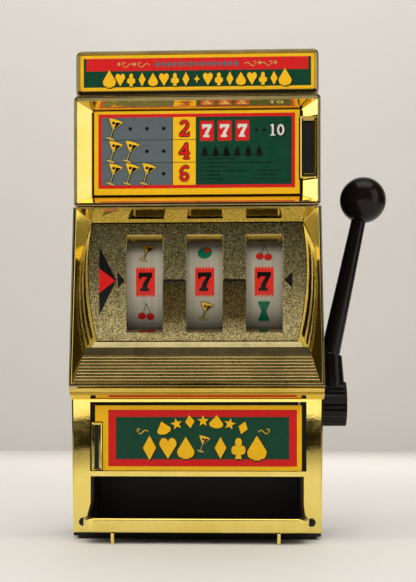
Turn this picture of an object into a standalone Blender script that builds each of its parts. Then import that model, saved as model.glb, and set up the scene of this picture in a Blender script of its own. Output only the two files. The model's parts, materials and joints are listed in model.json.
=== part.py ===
"""Table-top novelty slot machine: gold front, black body, three reels, one arm, two hinged panels."""

import math

import bpy
from mathutils import Vector

# ---------------------------------------------------------------- driving dimensions, in millimetres
MM = 0.001
GAP = 0.3

HEIGHT = 356.0
BODY_HALF = 88.0
WALL = 2.5
BODY_FRONT = -46.0
BODY_BACK = 62.0
FRONT_BACK = BODY_FRONT - GAP
PLINTH_HEIGHT = 2.2
BASE_TOP = 4.5
SHELL_BOTTOM = BASE_TOP + GAP

MARQUEE_HALF = 88.2
MARQUEE_BOTTOM = 322.2
MARQUEE_FRONT = -50.0

PAY_HALF = 89.2
PAY_BOTTOM = 241.5
PAY_TOP = 321.7
PAY_FRONT = -56.0
PAY_DOOR_HALF = 76.0
PAY_DOOR_BOTTOM = 250.5
PAY_DOOR_TOP = 312.6

SURROUND_TOP = 241.0
SURROUND_BOTTOM = 110.3
SURROUND_TOP_HALF = 89.7
SURROUND_BOTTOM_HALF = 91.6
SURROUND_TOP_FRONT = -58.0
SURROUND_BOTTOM_FRONT = -70.0
CHEEK_HALF = 72.0
CHEEK_Z = 144.0
CHEEK_RISE = 0.0593
CHEEK_FLARE = 0.846
CEILING_Z = 230.7
CEILING_FLARE = 0.752
LEDGE_BOTTOM = 112.8

COVER_BOTTOM = 144.0
COVER_TOP = 230.2
COVER_RADIUS = 190.0
COVER_THICK = 6.0
COVER_CENTRE_Z = 184.0
COVER_FRONT = -52.0
WINDOW_BOTTOM = 149.5
WINDOW_TOP = 224.7
WINDOW_WIDTH = 26.6

REEL_CENTRES = (-38.0, 5.5, 49.0)
REEL_RADIUS = 43.5
REEL_WIDTH = 28.0
REEL_Y = 2.0
REEL_Z = 188.0
REEL_AXIS = (REEL_Y, REEL_Z)
BAND_THICK = 1.6
WEB_HALF = 1.4
HUB_OUTER = 7.0
AXLE_RADIUS = 3.0
AXLE_BORE = AXLE_RADIUS + GAP
INDEX_RADIUS = 26.0
INDEX_TEETH = 12
INDEX_THICK = 3.0

ARM_Y = 15.0
ARM_Z = 98.4
HUB_LEFT = 90.0
HUB_RIGHT = 112.9
HUB_RADIUS = 17.1
SOCKET_TOP_X = 101.1
SOCKET_TOP_Z = 137.3
KNOB_X = 126.1
KNOB_Z = 255.2
KNOB_RADIUS = 17.7
SHAFT_RADIUS = 4.0
SHAFT_END = 106.0
FINGER_LENGTH = 62.5
FINGER_REST = math.radians(25.0)

STOP_Y = 52.0
STOP_Z = 205.0
STOP_AXIS = (STOP_Y, STOP_Z)
STOP_SHAFT_RADIUS = 2.0

LOWER_FRONT = -52.0
LOWER_TOP = 109.7
LOWER_TOP_HALF = 91.4
LOWER_BOTTOM_HALF = 90.2
JACK_LEFT = -77.8
JACK_RIGHT = 79.3
JACK_BOTTOM = 49.3
JACK_TOP = 99.7
TRAY_HALF = 77.0
TRAY_FRONT = -89.0
TRAY_BACK = 1.0
TRAY_BOTTOM = 8.0
TRAY_TOP = 45.2
TRAY_CORNER = 9.0
TRAY_SLOPE_TOP = 28.2
TRAY_SLOPE_FOOT = 16.4
TRAY_OPENING_TOP = 45.6
LIP_TOP = 18.1
LIP_OUT = 2.6
SCREW_X = 82.9
SCREW_Z = 12.5
PEG_X = 58.0

PAY_PIN = (-72.0, -44.8)
JACK_PIN = (74.2, -48.4)
BARREL_RADIUS = 2.0
PIN_RADIUS = 0.8
PIN_BORE = PIN_RADIUS + GAP
DOOR_THICK = 2.5
CARD_THICK = 0.8
BOX_WALL = 1.6
PAY_CARD_LEFT = -75.2
PAY_PULL_X = (74.6, 86.6)
PAY_PULL_Z = (261.0, 306.3)
JACK_CARD_X = (-74.1, 75.9)
JACK_CARD_TOP = 97.2
JACK_PULL_X = (-76.8, -68.8)
JACK_PULL_TOP = 85.1

PLATE_LEFT = -61.0
PLATE_RIGHT = 71.0
PLATE_THICK = 1.5

GONG = (-30.0, 34.0)
GONG_RADIUS = 22.0
GONG_RIM = 48.0
GONG_HEIGHT = 13.0
HAMMER = (4.0, 50.0)
HAMMER_Z = 51.0

# ---------------------------------------------------------------- colours
LOOKS = {
    "gold_chrome": ((0.90, 0.66, 0.18), 0.15, 1.0),
    "gold_glitter": ((0.72, 0.55, 0.24), 0.45, 1.0),
    "black_plastic": ((0.012, 0.011, 0.010), 0.32, 0.0),
    "printed_card": ((0.02, 0.24, 0.16), 0.40, 0.0),
    "reel_paper": ((0.78, 0.78, 0.75), 0.60, 0.0),
    "white_plastic": ((0.70, 0.69, 0.64), 0.45, 0.0),
    "steel": ((0.55, 0.56, 0.58), 0.32, 1.0),
    "brass": ((0.76, 0.58, 0.28), 0.30, 1.0),
}


def material_for(name, look):
    colour, roughness, metallic = LOOKS[look]
    material = bpy.data.materials.new(f"{name}_{look}")
    material.use_nodes = True
    shader = material.node_tree.nodes["Principled BSDF"]
    shader.inputs["Base Color"].default_value = (*colour, 1.0)
    shader.inputs["Roughness"].default_value = roughness
    shader.inputs["Metallic"].default_value = metallic
    material.diffuse_color = (*colour, 1.0)
    return material


# ---------------------------------------------------------------- mesh helpers, points in millimetres
def make(name, look, points, faces, origin=(0.0, 0.0, 0.0), smooth=None):
    """One object from its points, with its own origin, faces pointing out."""
    centre = Vector(origin)
    mesh = bpy.data.meshes.new(name)
    mesh.from_pydata([(Vector(p) - centre) * MM for p in points], [], faces)
    obj = bpy.data.objects.new(name, mesh)
    bpy.context.scene.collection.objects.link(obj)
    obj.location = centre * MM
    obj.data.materials.append(material_for(name, look))
    if signed_volume(mesh) < 0.0:
        mesh.flip_normals()
    if smooth is not None:
        mesh.shade_smooth()
        mesh.set_sharp_from_angle(angle=math.radians(smooth))
    return obj


def signed_volume(mesh):
    """Volume by the divergence theorem: negative where the faces point in."""
    mesh.calc_loop_triangles()
    total = 0.0
    for triangle in mesh.loop_triangles:
        a, b, c = (mesh.vertices[i].co for i in triangle.vertices)
        total += a.dot(b.cross(c))
    return total


def stack(loops):
    """Loops joined in order, with a face over the first and the last."""
    count = len(loops[0])
    points = [p for loop in loops for p in loop]
    faces = [tuple(range(count))[::-1]]
    for i in range(len(loops) - 1):
        faces += strip_between(i * count, (i + 1) * count, count)
    faces.append(tuple(range((len(loops) - 1) * count, len(loops) * count)))
    return points, faces


def ring(loops):
    """Loops joined in order and the last back to the first: a frame or a tube."""
    count = len(loops[0])
    points = [p for loop in loops for p in loop]
    faces = []
    for i in range(len(loops)):
        faces += strip_between(i * count, ((i + 1) % len(loops)) * count, count)
    return points, faces


def strip_between(first, second, count):
    return [
        (first + j, first + (j + 1) % count, second + (j + 1) % count, second + j)
        for j in range(count)
    ]


def place(axis, along, u, v):
    """A point at distance along an axis, with its two other coordinates in X, Y, Z order."""
    if axis == "x":
        return (along, u, v)
    if axis == "y":
        return (u, along, v)
    return (u, v, along)


def prism(outline, axis, start, end):
    loops = [[place(axis, a, u, v) for u, v in outline] for a in (start, end)]
    return stack(loops)


def block(x, y, z):
    outline = [(x[0], y[0]), (x[1], y[0]), (x[1], y[1]), (x[0], y[1])]
    return prism(outline, "z", z[0], z[1])


def circle(radius, count, centre=(0.0, 0.0), start=0.0):
    return [
        (
            centre[0] + radius * math.cos(start + math.tau * i / count),
            centre[1] + radius * math.sin(start + math.tau * i / count),
        )
        for i in range(count)
    ]


def rod(axis, centre, radius, start, end, count=20):
    return prism(circle(radius, count, centre), axis, start, end)


def turned(axis, centre, profile, count, closed):
    """A profile of (radius, along) turned round an axis; closed profiles make tubes."""
    loops = [
        [place(axis, along, u, v) for u, v in circle(radius, count, centre)]
        for radius, along in profile
    ]
    return ring(loops) if closed else stack(loops)


def rounded(x, z, radius, y, steps=4):
    """A rectangle in a plane of constant y, with round corners."""
    centres = (
        (x[1] - radius, z[1] - radius, 0.0),
        (x[0] + radius, z[1] - radius, 0.25),
        (x[0] + radius, z[0] + radius, 0.5),
        (x[1] - radius, z[0] + radius, 0.75),
    )
    points = []
    for cx, cz, quarter in centres:
        for i in range(steps + 1):
            angle = math.tau * (quarter + 0.25 * i / steps)
            points.append((cx + radius * math.cos(angle), y, cz + radius * math.sin(angle)))
    return points


def combine(obj, shape, operation="DIFFERENCE"):
    """Cut a shape from an object, or join it on, and keep the result as the object's mesh."""
    points, faces = shape
    tool = make("tool", "steel", points, faces)
    step = obj.modifiers.new("combine", "BOOLEAN")
    step.operation = operation
    step.solver = "EXACT"
    step.object = tool
    bpy.context.view_layer.update()
    graph = bpy.context.evaluated_depsgraph_get()
    result = bpy.data.meshes.new_from_object(obj.evaluated_get(graph))
    obj.modifiers.remove(step)
    keep = obj.data.materials[0]
    result.materials.clear()
    result.materials.append(keep)
    old = obj.data
    obj.data = result
    result.name = obj.name
    bpy.data.meshes.remove(old)
    for material in list(tool.data.materials):
        bpy.data.materials.remove(material)
    bpy.data.objects.remove(tool)


def shade(obj, angle=35.0):
    obj.data.shade_smooth()
    obj.data.set_sharp_from_angle(angle=math.radians(angle))


# ---------------------------------------------------------------- cabinet: body
def arch_outline(half, bottom, top, radius):
    """Upright outline with round top corners, in X and Z."""
    steps = 4
    outline = [(-half, bottom), (half, bottom)]
    for side, first in ((1, 0.0), (-1, 90.0)):
        for i in range(steps + 1):
            angle = math.radians(first + 90.0 * i / steps)
            x = side * (half - radius) + radius * math.cos(angle)
            outline.append((x, top - radius + radius * math.sin(angle)))
    return outline


def body_shell():
    """The black sleeve, open in front and behind, with a hole for the arm's bearing."""
    top = HEIGHT - 1.5
    outer = arch_outline(BODY_HALF, SHELL_BOTTOM, top, 6.0)
    inner = arch_outline(BODY_HALF - WALL, SHELL_BOTTOM, top - WALL, 3.5)
    outline = outer[1:] + [outer[0]] + [inner[0]] + inner[:1:-1] + [inner[1]]
    obj = make("body_shell", "black_plastic", *prism(outline, "y", BODY_FRONT, BODY_BACK))
    combine(obj, rod("x", (ARM_Y, ARM_Z), 7.3, BODY_HALF - 6.0, BODY_HALF + 3.0, 24))
    shade(obj)


def base_plate():
    """A flat base on a slightly smaller plinth."""
    half = LOWER_BOTTOM_HALF - 0.4
    plinth = half - 3.5
    back = BODY_BACK + 2.8
    loops = []
    for x, front, rear, z in (
        (plinth, LOWER_FRONT + 2.0, back - 3.0, 0.0),
        (plinth, LOWER_FRONT + 2.0, back - 3.0, PLINTH_HEIGHT),
        (half, LOWER_FRONT, back, PLINTH_HEIGHT),
        (half, LOWER_FRONT, back, BASE_TOP),
    ):
        loops.append([(-x, front, z), (x, front, z), (x, rear, z), (-x, rear, z)])
    make("base_plate", "black_plastic", *stack(loops))


def back_cover():
    """A flat cover with five louvres beside the bell."""
    half = BODY_HALF - 0.6
    near = BODY_BACK + GAP
    loops = [
        rounded((-half, half), (SHELL_BOTTOM + 0.4, HEIGHT - 2.0), 5.0, near),
        rounded((-half, half), (SHELL_BOTTOM + 0.4, HEIGHT - 2.0), 5.0, near + 1.5),
        rounded((-half + 1, half - 1), (SHELL_BOTTOM + 1.4, HEIGHT - 3.0), 4.0, near + WALL),
    ]
    obj = make("back_cover", "black_plastic", *stack(loops))
    for i in range(5):
        z = 40.0 + 9.0 * i
        combine(obj, block((-60.0, 0.0), (near - 1.0, near + WALL + 1.0), (z, z + 3.0)))
    shade(obj)


# ---------------------------------------------------------------- cabinet: gold front
def marquee_frame():
    bead = 2.5
    x, z = MARQUEE_HALF, (MARQUEE_BOTTOM, HEIGHT)
    low, high = z[0] + 4.6, z[1] - 2.7
    loops = [
        rounded((-x, x), z, 4.0, FRONT_BACK),
        rounded((-x, x), z, 4.0, MARQUEE_FRONT + 1.2),
        rounded((-x + 0.5, x - 0.5), (z[0] + 0.5, z[1] - 0.5), 3.6, MARQUEE_FRONT + 0.4),
        rounded((-x + 1.3, x - 1.3), (z[0] + 1.6, z[1] - 1.3), 2.9, MARQUEE_FRONT),
        rounded((-x + bead, x - bead), (low, high), 1.6, MARQUEE_FRONT + 1.0),
        rounded((-x + bead, x - bead), (low, high), 1.6, FRONT_BACK),
    ]
    make("marquee_frame", "gold_chrome", *ring(loops), smooth=40.0)

    inner = MARQUEE_HALF - bead - GAP
    front = MARQUEE_FRONT + 1.6
    plate = [
        rounded((-inner, inner), (low + GAP, high - GAP), 1.3, front),
        rounded((-inner, inner), (low + GAP, high - GAP), 1.3, front + 1.6),
    ]
    make("marquee_card", "printed_card", *stack(plate))


def paytable_frame():
    x, z = PAY_HALF, (PAY_BOTTOM, PAY_TOP)
    back = PAY_DOOR_HALF
    front = PAY_FRONT
    opening = (-x + 2.4, x - 2.4)
    heights = (z[0] + 2.8, z[1] - 3.5)
    loops = [
        rounded((-x, x), z, 2.5, FRONT_BACK),
        rounded((-x, x), z, 2.5, front + 1.1),
        rounded((-x + 0.5, x - 0.5), (z[0] + 0.5, z[1] - 0.5), 2.0, front + 0.3),
        rounded((-x + 1.3, x - 1.3), (z[0] + 1.3, z[1] - 1.3), 1.6, front),
        rounded(opening, heights, 1.0, front + 0.6),
        rounded((-back, back), (PAY_DOOR_BOTTOM, PAY_DOOR_TOP), 0.8, FRONT_BACK),
    ]
    obj = make("paytable_frame", "gold_chrome", *ring(loops))
    notch_x = (PAY_DOOR_HALF - 4.0, PAY_PULL_X[1] + 0.4)
    notch_z = (PAY_PULL_Z[0] - 0.4, PAY_PULL_Z[1] + 0.4)
    combine(obj, block(notch_x, (front - 2.0, FRONT_BACK + 2.0), notch_z))
    shade(obj)


def surround_front(z):
    share = (SURROUND_TOP - z) / (SURROUND_TOP - SURROUND_BOTTOM)
    return SURROUND_TOP_FRONT + (SURROUND_BOTTOM_FRONT - SURROUND_TOP_FRONT) * share


def surround_half(z):
    share = (SURROUND_TOP - z) / (SURROUND_TOP - SURROUND_BOTTOM)
    return SURROUND_TOP_HALF + (SURROUND_BOTTOM_HALF - SURROUND_TOP_HALF) * share


def cheek(y, z):
    """Half width between the two flared cheeks, which are flat planes."""
    return CHEEK_HALF + CHEEK_RISE * (z - CHEEK_Z) + CHEEK_FLARE * (FRONT_BACK - y)


def surround_loop(low, high, half_at, depth_at):
    """Four corners of the surround, whose width and depth change with height."""
    corners = ((-1, low), (1, low), (1, high), (-1, high))
    return [(side * half_at(z), depth_at(z), z) for side, z in corners]


def reel_surround():
    edge = 0.9
    ceiling = CEILING_Z + CEILING_FLARE * (FRONT_BACK - surround_front(SURROUND_TOP - 2.0))

    def mouth(z):
        return surround_front(z) + 0.5

    loops = [
        surround_loop(SURROUND_BOTTOM, SURROUND_TOP, surround_half, lambda z: FRONT_BACK),
        surround_loop(SURROUND_BOTTOM, SURROUND_TOP, surround_half, lambda z: surround_front(z) + 1.0),
        surround_loop(
            SURROUND_BOTTOM + edge, SURROUND_TOP - edge, lambda z: surround_half(z) - edge, surround_front
        ),
        surround_loop(LEDGE_BOTTOM, ceiling, lambda z: cheek(mouth(z), z), mouth),
        surround_loop(LEDGE_BOTTOM, CEILING_Z, lambda z: cheek(FRONT_BACK, z), lambda z: FRONT_BACK),
    ]
    make("reel_surround", "gold_chrome", *ring(loops), smooth=30.0)


def between_cheeks(profile):
    """A bar along X with the given (y, z) outline, its ends lying against the two cheeks."""
    loops = [[(side * (cheek(y, z) - GAP), y, z) for y, z in profile] for side in (-1, 1)]
    return stack(loops)


def cover_y(z, radius):
    """Depth of the cover's face: an arc that bulges forward."""
    centre = COVER_FRONT + COVER_RADIUS
    return centre - math.sqrt(radius**2 - (z - COVER_CENTRE_Z) ** 2)


def reel_cover():
    steps = 16
    heights = [COVER_BOTTOM + (COVER_TOP - COVER_BOTTOM) * i / steps for i in range(steps + 1)]
    front = [(cover_y(z, COVER_RADIUS), z) for z in heights]
    back = [(cover_y(z, COVER_RADIUS - COVER_THICK), z) for z in reversed(heights)]
    obj = make("reel_cover", "gold_glitter", *between_cheeks(front + back))
    near_y = COVER_FRONT - 4.0
    far_y = COVER_FRONT + COVER_THICK + 8.0
    near_z = (WINDOW_BOTTOM - 2.0, WINDOW_TOP + 4.0)
    far_z = (WINDOW_BOTTOM + 5.5, WINDOW_TOP - 12.7)
    half = WINDOW_WIDTH / 2
    for x in REEL_CENTRES:
        near = rounded((x - half, x + half), near_z, 0.6, near_y, 1)
        far = rounded((x - half + GAP, x + half - GAP), far_z, 0.5, far_y, 1)
        combine(obj, stack([near, far]))
    shade(obj, 25.0)


def ledge_outline():
    """Section of the ledge: a step, a plain strip, then the ribs down its sloping front."""
    top = Vector((-58.8, 134.2))
    foot = Vector((surround_front(LEDGE_BOTTOM) + 1.6, LEDGE_BOTTOM + GAP))
    along = (foot - top) / 9.0
    into = Vector((1.15, 0.45))
    back = FRONT_BACK - 0.4
    crest = COVER_BOTTOM - 0.6
    outline = [(back, foot.y), (back, crest), (-50.5, crest), (-52.6, crest - 3.5), (-56.4, crest - 4.0)]
    outline.append((-57.6, crest - 6.6))
    for i in range(9):
        start = top + along * i
        outline.append(tuple(start))
        outline.append(tuple(start + along * 0.46))
        outline.append(tuple(start + along * 0.54 + into))
        outline.append(tuple(start + along * 0.9 + into))
    outline.append(tuple(foot))
    return outline


def belt_outline():
    """Section of the moulding under the ledge: two beads, then a hollow curve back to the front."""
    back = LOWER_FRONT - GAP
    foot = LOWER_TOP - 8.2
    outline = [(back, foot), (back, LOWER_TOP), (-66.4, LOWER_TOP), (-67.0, 109.1), (-67.0, 107.9)]
    outline += [(-64.2, 107.4), (-64.2, 106.0), (-65.2, 105.6), (-65.2, 104.6)]
    reach = 10.4
    rise = 2.6
    steps = 5
    for i in range(steps + 1):
        share = 1.0 - math.sin(math.radians(90.0 * i / steps))
        outline.append((back - 1.3 - reach * share, foot + rise * share**2))
    return outline


def lower_front():
    bottom = SHELL_BOTTOM
    loops = []
    for y, inset in ((FRONT_BACK, 0.0), (LOWER_FRONT + 1.2, 0.0), (LOWER_FRONT, 1.2)):
        low = LOWER_BOTTOM_HALF - inset
        high = LOWER_TOP_HALF - inset
        loops.append([(-low, y, bottom), (low, y, bottom), (high, y, LOWER_TOP), (-high, y, LOWER_TOP)])
    obj = make("lower_front", "gold_chrome", *stack(loops))
    through = (LOWER_FRONT - 2.0, FRONT_BACK + 2.0)
    combine(obj, block((JACK_LEFT, JACK_RIGHT), through, (JACK_BOTTOM, JACK_TOP)))
    half = TRAY_HALF + GAP + 0.1
    combine(obj, block((-half, half), through, (TRAY_BOTTOM - 0.4, TRAY_OPENING_TOP)))
    combine(obj, rod("z", JACK_PIN, PIN_BORE, JACK_BOTTOM - 2.5, JACK_TOP + 3.7, 12))
    for side in (-1, 1):
        combine(obj, rod("y", (side * SCREW_X, SCREW_Z), 1.6, *through, 12))
    shade(obj)


def front_screws():
    """Pan head screws with a cross slot, one in each lower corner."""
    seat = LOWER_FRONT - GAP
    profile = [
        (0.9, seat - 2.0),
        (2.3, seat - 1.8),
        (3.0, seat - 1.1),
        (3.0, seat),
        (1.2, seat),
        (1.2, FRONT_BACK - GAP),
    ]
    slot_y = (seat - 2.7, seat - 1.3)
    for side, label in ((-1, "left"), (1, "right")):
        x = side * SCREW_X
        shape = turned("y", (x, SCREW_Z), profile, 20, False)
        screw = make(f"front_screw_{label}", "black_plastic", *shape, smooth=35.0)
        for half_x, half_z in ((1.9, 0.4), (0.4, 1.9)):
            slot = block((x - half_x, x + half_x), slot_y, (SCREW_Z - half_z, SCREW_Z + half_z))
            combine(screw, slot)
        shade(screw)


# ---------------------------------------------------------------- tray
def tray_outline(offset, back):
    """Plan of the tray with round front corners, grown by offset, in X and Y."""
    half = TRAY_HALF + offset
    radius = TRAY_CORNER + offset
    centre_y = TRAY_FRONT - offset + radius
    steps = 6
    outline = [(half, back)]
    for side, first in ((1, 0.0), (-1, -90.0)):
        centre_x = side * (half - radius)
        for i in range(steps + 1):
            angle = math.radians(first - 90.0 * i / steps)
            outline.append((centre_x + radius * math.cos(angle), centre_y + radius * math.sin(angle)))
    outline.append((-half, back))
    return outline


def payout_tray():
    """A deep tray whose sides slope down to its front once they leave the cabinet."""
    wall = 2.0
    block_of_tray = prism(tray_outline(0.0, TRAY_BACK), "z", TRAY_BOTTOM, TRAY_TOP)
    obj = make("payout_tray", "black_plastic", *block_of_tray)
    hollow = tray_outline(-wall, TRAY_BACK - wall)
    combine(obj, prism(hollow, "z", TRAY_BOTTOM + 2.2, TRAY_TOP + 5.0))
    face = LOWER_FRONT - GAP
    front = TRAY_FRONT - 3.0
    clear = TRAY_TOP + 15.0
    above = [(face, clear), (face, TRAY_SLOPE_TOP), (front, TRAY_SLOPE_FOOT), (front, clear)]
    combine(obj, prism(above, "x", -BODY_HALF, BODY_HALF))
    shade(obj)


def tray_lip():
    """The bright band round the tray's front, and the two pegs under it."""
    back = LOWER_FRONT - GAP
    bottom = TRAY_BOTTOM + 0.1
    loops = []
    for z, out in (
        (bottom, LIP_OUT - 0.8),
        (bottom + 0.8, LIP_OUT),
        (LIP_TOP - 1.0, LIP_OUT),
        (LIP_TOP, LIP_OUT - 1.0),
    ):
        outline = tray_outline(out, back) + tray_outline(GAP, back)[::-1]
        loops.append([(x, y, z) for x, y in outline])
    make("tray_lip", "gold_chrome", *stack(loops), smooth=40.0)
    peg = [(0.9, 0.0), (1.35, 0.5), (1.35, TRAY_BOTTOM - 0.2)]
    for side, label in ((-1, "left"), (1, "right")):
        shape = turned("z", (side * PEG_X, TRAY_FRONT - 1.6), peg, 16, False)
        make(f"tray_peg_{label}", "gold_chrome", *shape, smooth=40.0)


# ---------------------------------------------------------------- storage boxes and panels
def box_with_flange(name, x, z, front, back, flange_x, flange_z):
    """An open box with a flange round its mouth, facing forward."""
    wall = BOX_WALL

    def loop(xs, zs, y):
        return [(xs[0], y, zs[0]), (xs[1], y, zs[0]), (xs[1], y, zs[1]), (xs[0], y, zs[1])]

    hollow_x = (x[0] + wall, x[1] - wall)
    hollow_z = (z[0] + wall, z[1] - wall)
    loops = [
        loop(hollow_x, hollow_z, back - wall),
        loop(hollow_x, hollow_z, front),
        loop(flange_x, flange_z, front),
        loop(flange_x, flange_z, front + wall),
        loop(x, z, front + wall),
        loop(x, z, back),
    ]
    return make(name, "black_plastic", *stack(loops))


def upper_box():
    """The box behind the paytable, with a clearance slot and two lugs for the panel's hinge."""
    front = FRONT_BACK + 2.4
    x, y = PAY_PIN
    box_z = (244.5, 318.5)
    obj = box_with_flange("upper_box", (-69.0, 73.5), (252.5, 310.5), front, 24.0, (-83.5, 83.5), box_z)
    slot_z = (PAY_DOOR_BOTTOM - 0.2, PAY_DOOR_TOP + 0.2)
    combine(obj, block((x - 4.7, x + 2.6), (front - 1.0, front + BOX_WALL + 1.0), slot_z))
    for low, high in ((box_z[0] + 1.9, PAY_DOOR_BOTTOM - 0.4), (PAY_DOOR_TOP + 0.4, box_z[1] - 1.7)):
        combine(obj, block((x - 2.2, x + 2.2), (y - 1.3, front + 0.8), (low, high)), "UNION")
    combine(obj, rod("z", PAY_PIN, PIN_BORE, box_z[0] + 2.7, box_z[1] - 2.5, 12))


def lower_box():
    """The shallower box behind the jackpot panel."""
    flange_z = (TRAY_TOP + 1.1, JACK_TOP + 3.8)
    box_z = (JACK_BOTTOM + 1.2, JACK_TOP - 2.2)
    box_with_flange("lower_box", (-73.0, 72.0), box_z, FRONT_BACK + 0.4, -9.0, (-84.0, 84.0), flange_z)


def hinged_plate(name, x, z, pin, tab_x, tab_z):
    """Panel carrier with a round hinge barrel along one edge and a tab behind its finger pull."""
    depth = (pin[1] - BARREL_RADIUS, pin[1] - BARREL_RADIUS + DOOR_THICK)
    obj = make(name, "black_plastic", *block(x, depth, z), origin=(pin[0], pin[1], 0.0))
    combine(obj, rod("z", pin, BARREL_RADIUS, z[0], z[1], 20), "UNION")
    combine(obj, block(tab_x, depth, tab_z), "UNION")
    combine(obj, rod("z", pin, PIN_BORE, z[0] - 2.0, z[1] + 2.0, 12))
    shade(obj)


def pull_insert(name, x, z, back, front, origin):
    """Dark floor of a finger pull."""
    loops = [rounded(x, z, 0.3, back, 2), rounded(x, z, 0.3, front, 2)]
    make(name, "black_plastic", *stack(loops), origin=origin)


def pull_ring(name, x, z, rim_x, rim_z, front, back, origin):
    """Raised frame of a finger pull."""
    loops = [
        rounded(x, z, 0.6, back, 2),
        rounded((x[0] + 0.3, x[1] - 0.3), (z[0] + 0.3, z[1] - 0.3), 0.6, front + 0.5, 2),
        rounded((x[0] + 0.9, x[1] - 0.9), (z[0] + 0.9, z[1] - 0.9), 0.5, front, 2),
        rounded((x[0] + rim_x, x[1] - rim_x), (z[0] + rim_z, z[1] - rim_z), 0.4, front + 0.5, 2),
        rounded((x[0] + rim_x, x[1] - rim_x), (z[0] + rim_z, z[1] - rim_z), 0.4, back, 2),
    ]
    make(name, "gold_chrome", *ring(loops), origin=origin, smooth=30.0)


def paytable_panel():
    origin = (PAY_PIN[0], PAY_PIN[1], 0.0)
    z = (PAY_DOOR_BOTTOM + 0.4, PAY_DOOR_TOP - 0.4)
    right = PAY_DOOR_HALF - 1.0
    tab_x = (PAY_DOOR_HALF - 3.0, PAY_PULL_X[1] - 1.7)
    tab_z = (PAY_PULL_Z[0] + 0.1, PAY_PULL_Z[1] - 0.1)
    hinged_plate("paytable_door", (PAY_PIN[0], right), z, PAY_PIN, tab_x, tab_z)

    back = PAY_PIN[1] - BARREL_RADIUS - GAP
    card_y = (back - CARD_THICK, back)
    card_z = (z[0] + 0.1, z[1] - 0.1)
    card = block((PAY_CARD_LEFT, PAY_PULL_X[0]), card_y, card_z)
    obj = make("paytable_card", "printed_card", *card, origin=origin)
    notch_x = (PAY_PULL_X[0] - 0.6, PAY_PULL_X[1])
    combine(obj, block(notch_x, (card_y[0] - 1.0, back + 1.0), (PAY_PULL_Z[0] - 0.2, PAY_PULL_Z[1] + 0.2)))

    rim_x, rim_z = 2.4, 3.6
    pull_ring("paytable_pull", PAY_PULL_X, PAY_PULL_Z, rim_x, rim_z, -54.6, back, origin)
    insert_x = (PAY_PULL_X[0] + rim_x + GAP, PAY_PULL_X[1] - rim_x - GAP)
    insert_z = (PAY_PULL_Z[0] + rim_z + GAP, PAY_PULL_Z[1] - rim_z - GAP)
    pull_insert("paytable_pull_insert", insert_x, insert_z, back, -51.2, origin)
    pin = rod("z", PAY_PIN, PIN_RADIUS, PAY_DOOR_BOTTOM - 3.0, PAY_DOOR_TOP + 3.1, 12)
    make("paytable_hinge_pin", "steel", *pin, smooth=40.0)


def jackpot_panel():
    origin = (JACK_PIN[0], JACK_PIN[1], 0.0)
    z = (JACK_BOTTOM + 0.5, JACK_CARD_TOP)
    tab_x = (JACK_PULL_X[0] + 0.2, JACK_CARD_X[0] + 2.1)
    tab_z = (z[0], JACK_PULL_TOP - 0.1)
    hinged_plate("jackpot_door", (JACK_CARD_X[0], JACK_PIN[0]), z, JACK_PIN, tab_x, tab_z)

    back = JACK_PIN[1] - BARREL_RADIUS - GAP
    card_y = (back - CARD_THICK, back)
    obj = make("jackpot_card", "printed_card", *block(JACK_CARD_X, card_y, z), origin=origin)
    notch_x = (JACK_PULL_X[0] - 3.2, JACK_PULL_X[1] + GAP)
    combine(obj, block(notch_x, (card_y[0] - 1.0, back + 1.0), (z[0] - 2.0, JACK_PULL_TOP + 0.4)))

    rim_x, rim_z = 2.4, 2.0
    pull_z = (z[0], JACK_PULL_TOP)
    pull_ring("jackpot_pull", JACK_PULL_X, pull_z, rim_x, rim_z, -54.0, back, origin)
    insert_x = (JACK_PULL_X[0] + rim_x + GAP, JACK_PULL_X[1] - rim_x - GAP)
    insert_z = (pull_z[0] + rim_z + GAP, pull_z[1] - rim_z - GAP)
    pull_insert("jackpot_pull_insert", insert_x, insert_z, back, -51.6, origin)
    pin = rod("z", JACK_PIN, PIN_RADIUS, JACK_BOTTOM - 2.1, JACK_TOP + 3.3, 12)
    make("jackpot_hinge_pin", "steel", *pin, smooth=40.0)


# ---------------------------------------------------------------- mechanism
def chassis():
    outline = [(-36.0, 238.0), (-36.0, 140.0), (4.0, 112.0), (4.0, SHELL_BOTTOM), (58.0, SHELL_BOTTOM)]
    outline.append((58.0, 238.0))
    for label, x in (("left", PLATE_LEFT), ("right", PLATE_RIGHT)):
        obj = make(f"chassis_plate_{label}", "steel", *prism(outline, "x", x, x + PLATE_THICK))
        for centre, radius in (
            (REEL_AXIS, AXLE_BORE),
            (STOP_AXIS, STOP_SHAFT_RADIUS + GAP),
            ((ARM_Y, ARM_Z), SHAFT_RADIUS + GAP),
        ):
            combine(obj, rod("x", centre, radius, x - 2.0, x + PLATE_THICK + 2.0, 20))
        combine(obj, block((x - 2.0, x + PLATE_THICK + 2.0), (20.0, 46.0), (112.0, 146.0)))
    inner = (PLATE_LEFT + PLATE_THICK + GAP, PLATE_RIGHT - GAP)
    for label, centre in (("front", (-29.0, 227.0)), ("rear", (50.0, 74.0))):
        make(f"chassis_rod_{label}", "steel", *rod("x", centre, 2.5, *inner, 16), smooth=40.0)
    reach = (PLATE_LEFT - 2.0, PLATE_RIGHT + PLATE_THICK + 2.0)
    make("reel_axle", "steel", *rod("x", REEL_AXIS, AXLE_RADIUS, *reach, 20), smooth=40.0)
    make("stop_lever_shaft", "steel", *rod("x", STOP_AXIS, STOP_SHAFT_RADIUS, *reach, 16), smooth=40.0)


def tooth_outline():
    """Saw teeth round the index wheel: one steep side and one long slope each."""
    outline = []
    for i in range(INDEX_TEETH):
        for share, radius in ((0.0, INDEX_RADIUS), (0.06, INDEX_RADIUS - 4.0), (0.55, INDEX_RADIUS - 2.4)):
            angle = math.tau * (i + share) / INDEX_TEETH
            outline.append((REEL_Y + radius * math.cos(angle), REEL_Z + radius * math.sin(angle)))
    return outline


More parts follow.
